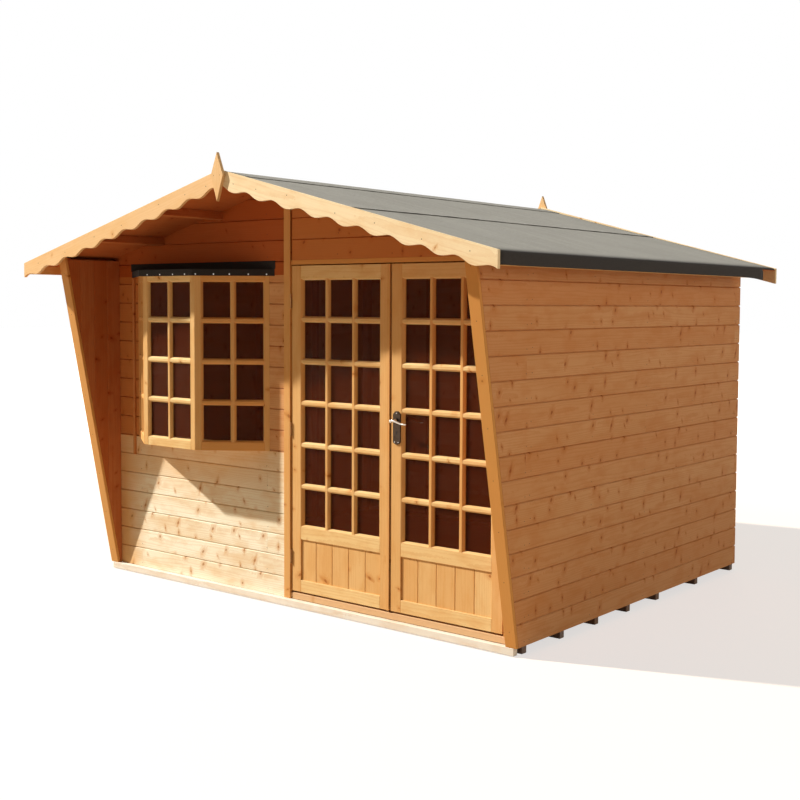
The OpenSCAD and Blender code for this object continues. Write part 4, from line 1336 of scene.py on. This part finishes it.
def studio_world(scene):
    """White behind the house, and a warm dim light round it."""
    scene.world = bpy.data.worlds.new("studio")
    n = Nodes(scene.world)
    sky = n.add("Background", {"Color": (1.0, 0.87, 0.72), "Strength": 0.16})
    white = n.add("Background", {"Color": (1, 1, 1), "Strength": 1.0})
    choose = n.add("MixShader", {0: n.seen(), 1: sky.outputs[0], 2: white.outputs[0]})
    n.add("OutputWorld", {"Surface": choose.outputs[0]})


def studio_lamps(scene):
    """A low sun from the left, and two wide soft lamps."""
    for name, spot, aim, power, size, colour in (
        ("key", (-27.1, -16.1, 25.4), (0.0, -0.4, 0.9), 27500.0, 0.9, (1.0, 0.985, 0.95)),
        ("fill", (10.5, 1.2, 3.4), (1.2, 0.3, 1.0), 250.0, 5.0, (1.0, 0.955, 0.89)),
        ("back", (-3.0, 11.0, 3.6), (0.0, 1.2, 1.0), 160.0, 5.0, (1.0, 0.965, 0.91)),
    ):
        lamp = bpy.data.lights.new(name, "AREA")
        lamp.energy, lamp.size, lamp.color = power, size, colour
        holder = bpy.data.objects.new(name, lamp)
        holder.location = spot
        holder.rotation_euler = (Vector(aim) - Vector(spot)).to_track_quat("-Z", "Y").to_euler()
        scene.collection.objects.link(holder)


def studio_camera(scene):
    """Camera at standing height, off the front right corner."""
    yaw, pitch, roll = (math.radians(v) for v in (38.5259, 3.4113, 0.3047))
    stand = Vector((4.5482, FRONT - 4.6269, 1.6388))
    data = bpy.data.cameras.new("camera")
    data.sensor_width = 36.0
    data.lens = 54.17
    data.shift_x, data.shift_y = -0.0186, -0.0304
    ahead = Vector((-math.sin(yaw) * math.cos(pitch), math.cos(yaw) * math.cos(pitch), -math.sin(pitch)))
    right = Vector((math.cos(yaw), math.sin(yaw), 0))
    up = right.cross(ahead)
    side = right * math.cos(roll) + up * math.sin(roll)
    above = up * math.cos(roll) - right * math.sin(roll)
    camera = bpy.data.objects.new("camera", data)
    camera.matrix_world = Matrix.Translation(stand) @ Matrix((side, above, -ahead)).transposed().to_4x4()
    scene.collection.objects.link(camera)
    scene.camera = camera


def build_stage():
    """Floor, light and camera."""
    scene = bpy.context.scene
    scene.view_settings.view_transform = "Standard"
    studio_floor(scene)
    studio_world(scene)
    studio_lamps(scene)
    studio_camera(scene)


# ---------------------------------------------------------------- operators and panel


class HOUSE_OT_walls(bpy.types.Operator):
    """Build the wall boards"""

    bl_idname = "house.walls"
    bl_label = "Walls"

    def execute(self, context):
        build_walls()
        return {"FINISHED"}


class HOUSE_OT_wings(bpy.types.Operator):
    """Build the wings' linings and cover boards"""

    bl_idname = "house.wings"
    bl_label = "Wings"

    def execute(self, context):
        build_wings()
        return {"FINISHED"}


class HOUSE_OT_floor(bpy.types.Operator):
    """Build the floor and its bearers"""

    bl_idname = "house.floor"
    bl_label = "Floor"

    def execute(self, context):
        build_floor()
        return {"FINISHED"}


class HOUSE_OT_framing(bpy.types.Operator):
    """Build the framing and the roof's timbers"""

    bl_idname = "house.framing"
    bl_label = "Framing"

    def execute(self, context):
        build_framing()
        return {"FINISHED"}


class HOUSE_OT_trim(bpy.types.Operator):
    """Build the strips, the door frame, the bargeboards and the finials"""

    bl_idname = "house.trim"
    bl_label = "Trim"

    def execute(self, context):
        build_trim()
        return {"FINISHED"}


class HOUSE_OT_doors(bpy.types.Operator):
    """Build both doors"""

    bl_idname = "house.doors"
    bl_label = "Doors"

    def execute(self, context):
        build_doors()
        return {"FINISHED"}


class HOUSE_OT_bay(bpy.types.Operator):
    """Build the bay window"""

    bl_idname = "house.bay"
    bl_label = "Bay window"

    def execute(self, context):
        build_bay()
        return {"FINISHED"}


class HOUSE_OT_roof(bpy.types.Operator):
    """Build the roof felt"""

    bl_idname = "house.roof"
    bl_label = "Roof felt"

    def execute(self, context):
        build_roof()
        return {"FINISHED"}


class HOUSE_OT_fittings(bpy.types.Operator):
    """Build the handle, and finish the hinges and the glass"""

    bl_idname = "house.fittings"
    bl_label = "Fittings"

    def execute(self, context):
        build_handle()
        build_metal_and_glass()
        return {"FINISHED"}


class HOUSE_OT_stage(bpy.types.Operator):
    """Build the floor, the light and the camera"""

    bl_idname = "house.stage"
    bl_label = "Stage"

    def execute(self, context):
        build_stage()
        return {"FINISHED"}


OPERATORS = (HOUSE_OT_walls, HOUSE_OT_wings, HOUSE_OT_floor, HOUSE_OT_framing, HOUSE_OT_trim, HOUSE_OT_doors,
             HOUSE_OT_bay, HOUSE_OT_roof, HOUSE_OT_fittings, HOUSE_OT_stage)


class HOUSE_PT_panel(bpy.types.Panel):
    """Steps that build the summer house"""

    bl_label = "Summer house"
    bl_idname = "HOUSE_PT_panel"
    bl_space_type = "VIEW_3D"
    bl_region_type = "UI"
    bl_category = "Summer house"

    def draw(self, context):
        for operator in OPERATORS:
            self.layout.operator(operator.bl_idname)


CLASSES = (HouseSizes, HouseColours, *OPERATORS, HOUSE_PT_panel)


def register():
    """Makes the sizes, colours, steps and panel known to Blender."""
    for cls in CLASSES:
        bpy.utils.register_class(cls)
    bpy.types.Scene.house_sizes = PointerProperty(type=HouseSizes)
    bpy.types.Scene.house_colours = PointerProperty(type=HouseColours)


def unregister():
    """Takes them away again."""
    del bpy.types.Scene.house_colours
    del bpy.types.Scene.house_sizes
    for cls in reversed(CLASSES):
        bpy.utils.unregister_class(cls)


def main():
    """Builds the house step by step."""
    register()
    for operator in OPERATORS:
        group, name = operator.bl_idname.split(".")
        result = getattr(getattr(bpy.ops, group), name)()
        if result != {"FINISHED"}:
            raise RuntimeError(f"{operator.bl_label} was not built")


if __name__ == "__main__":
    main()
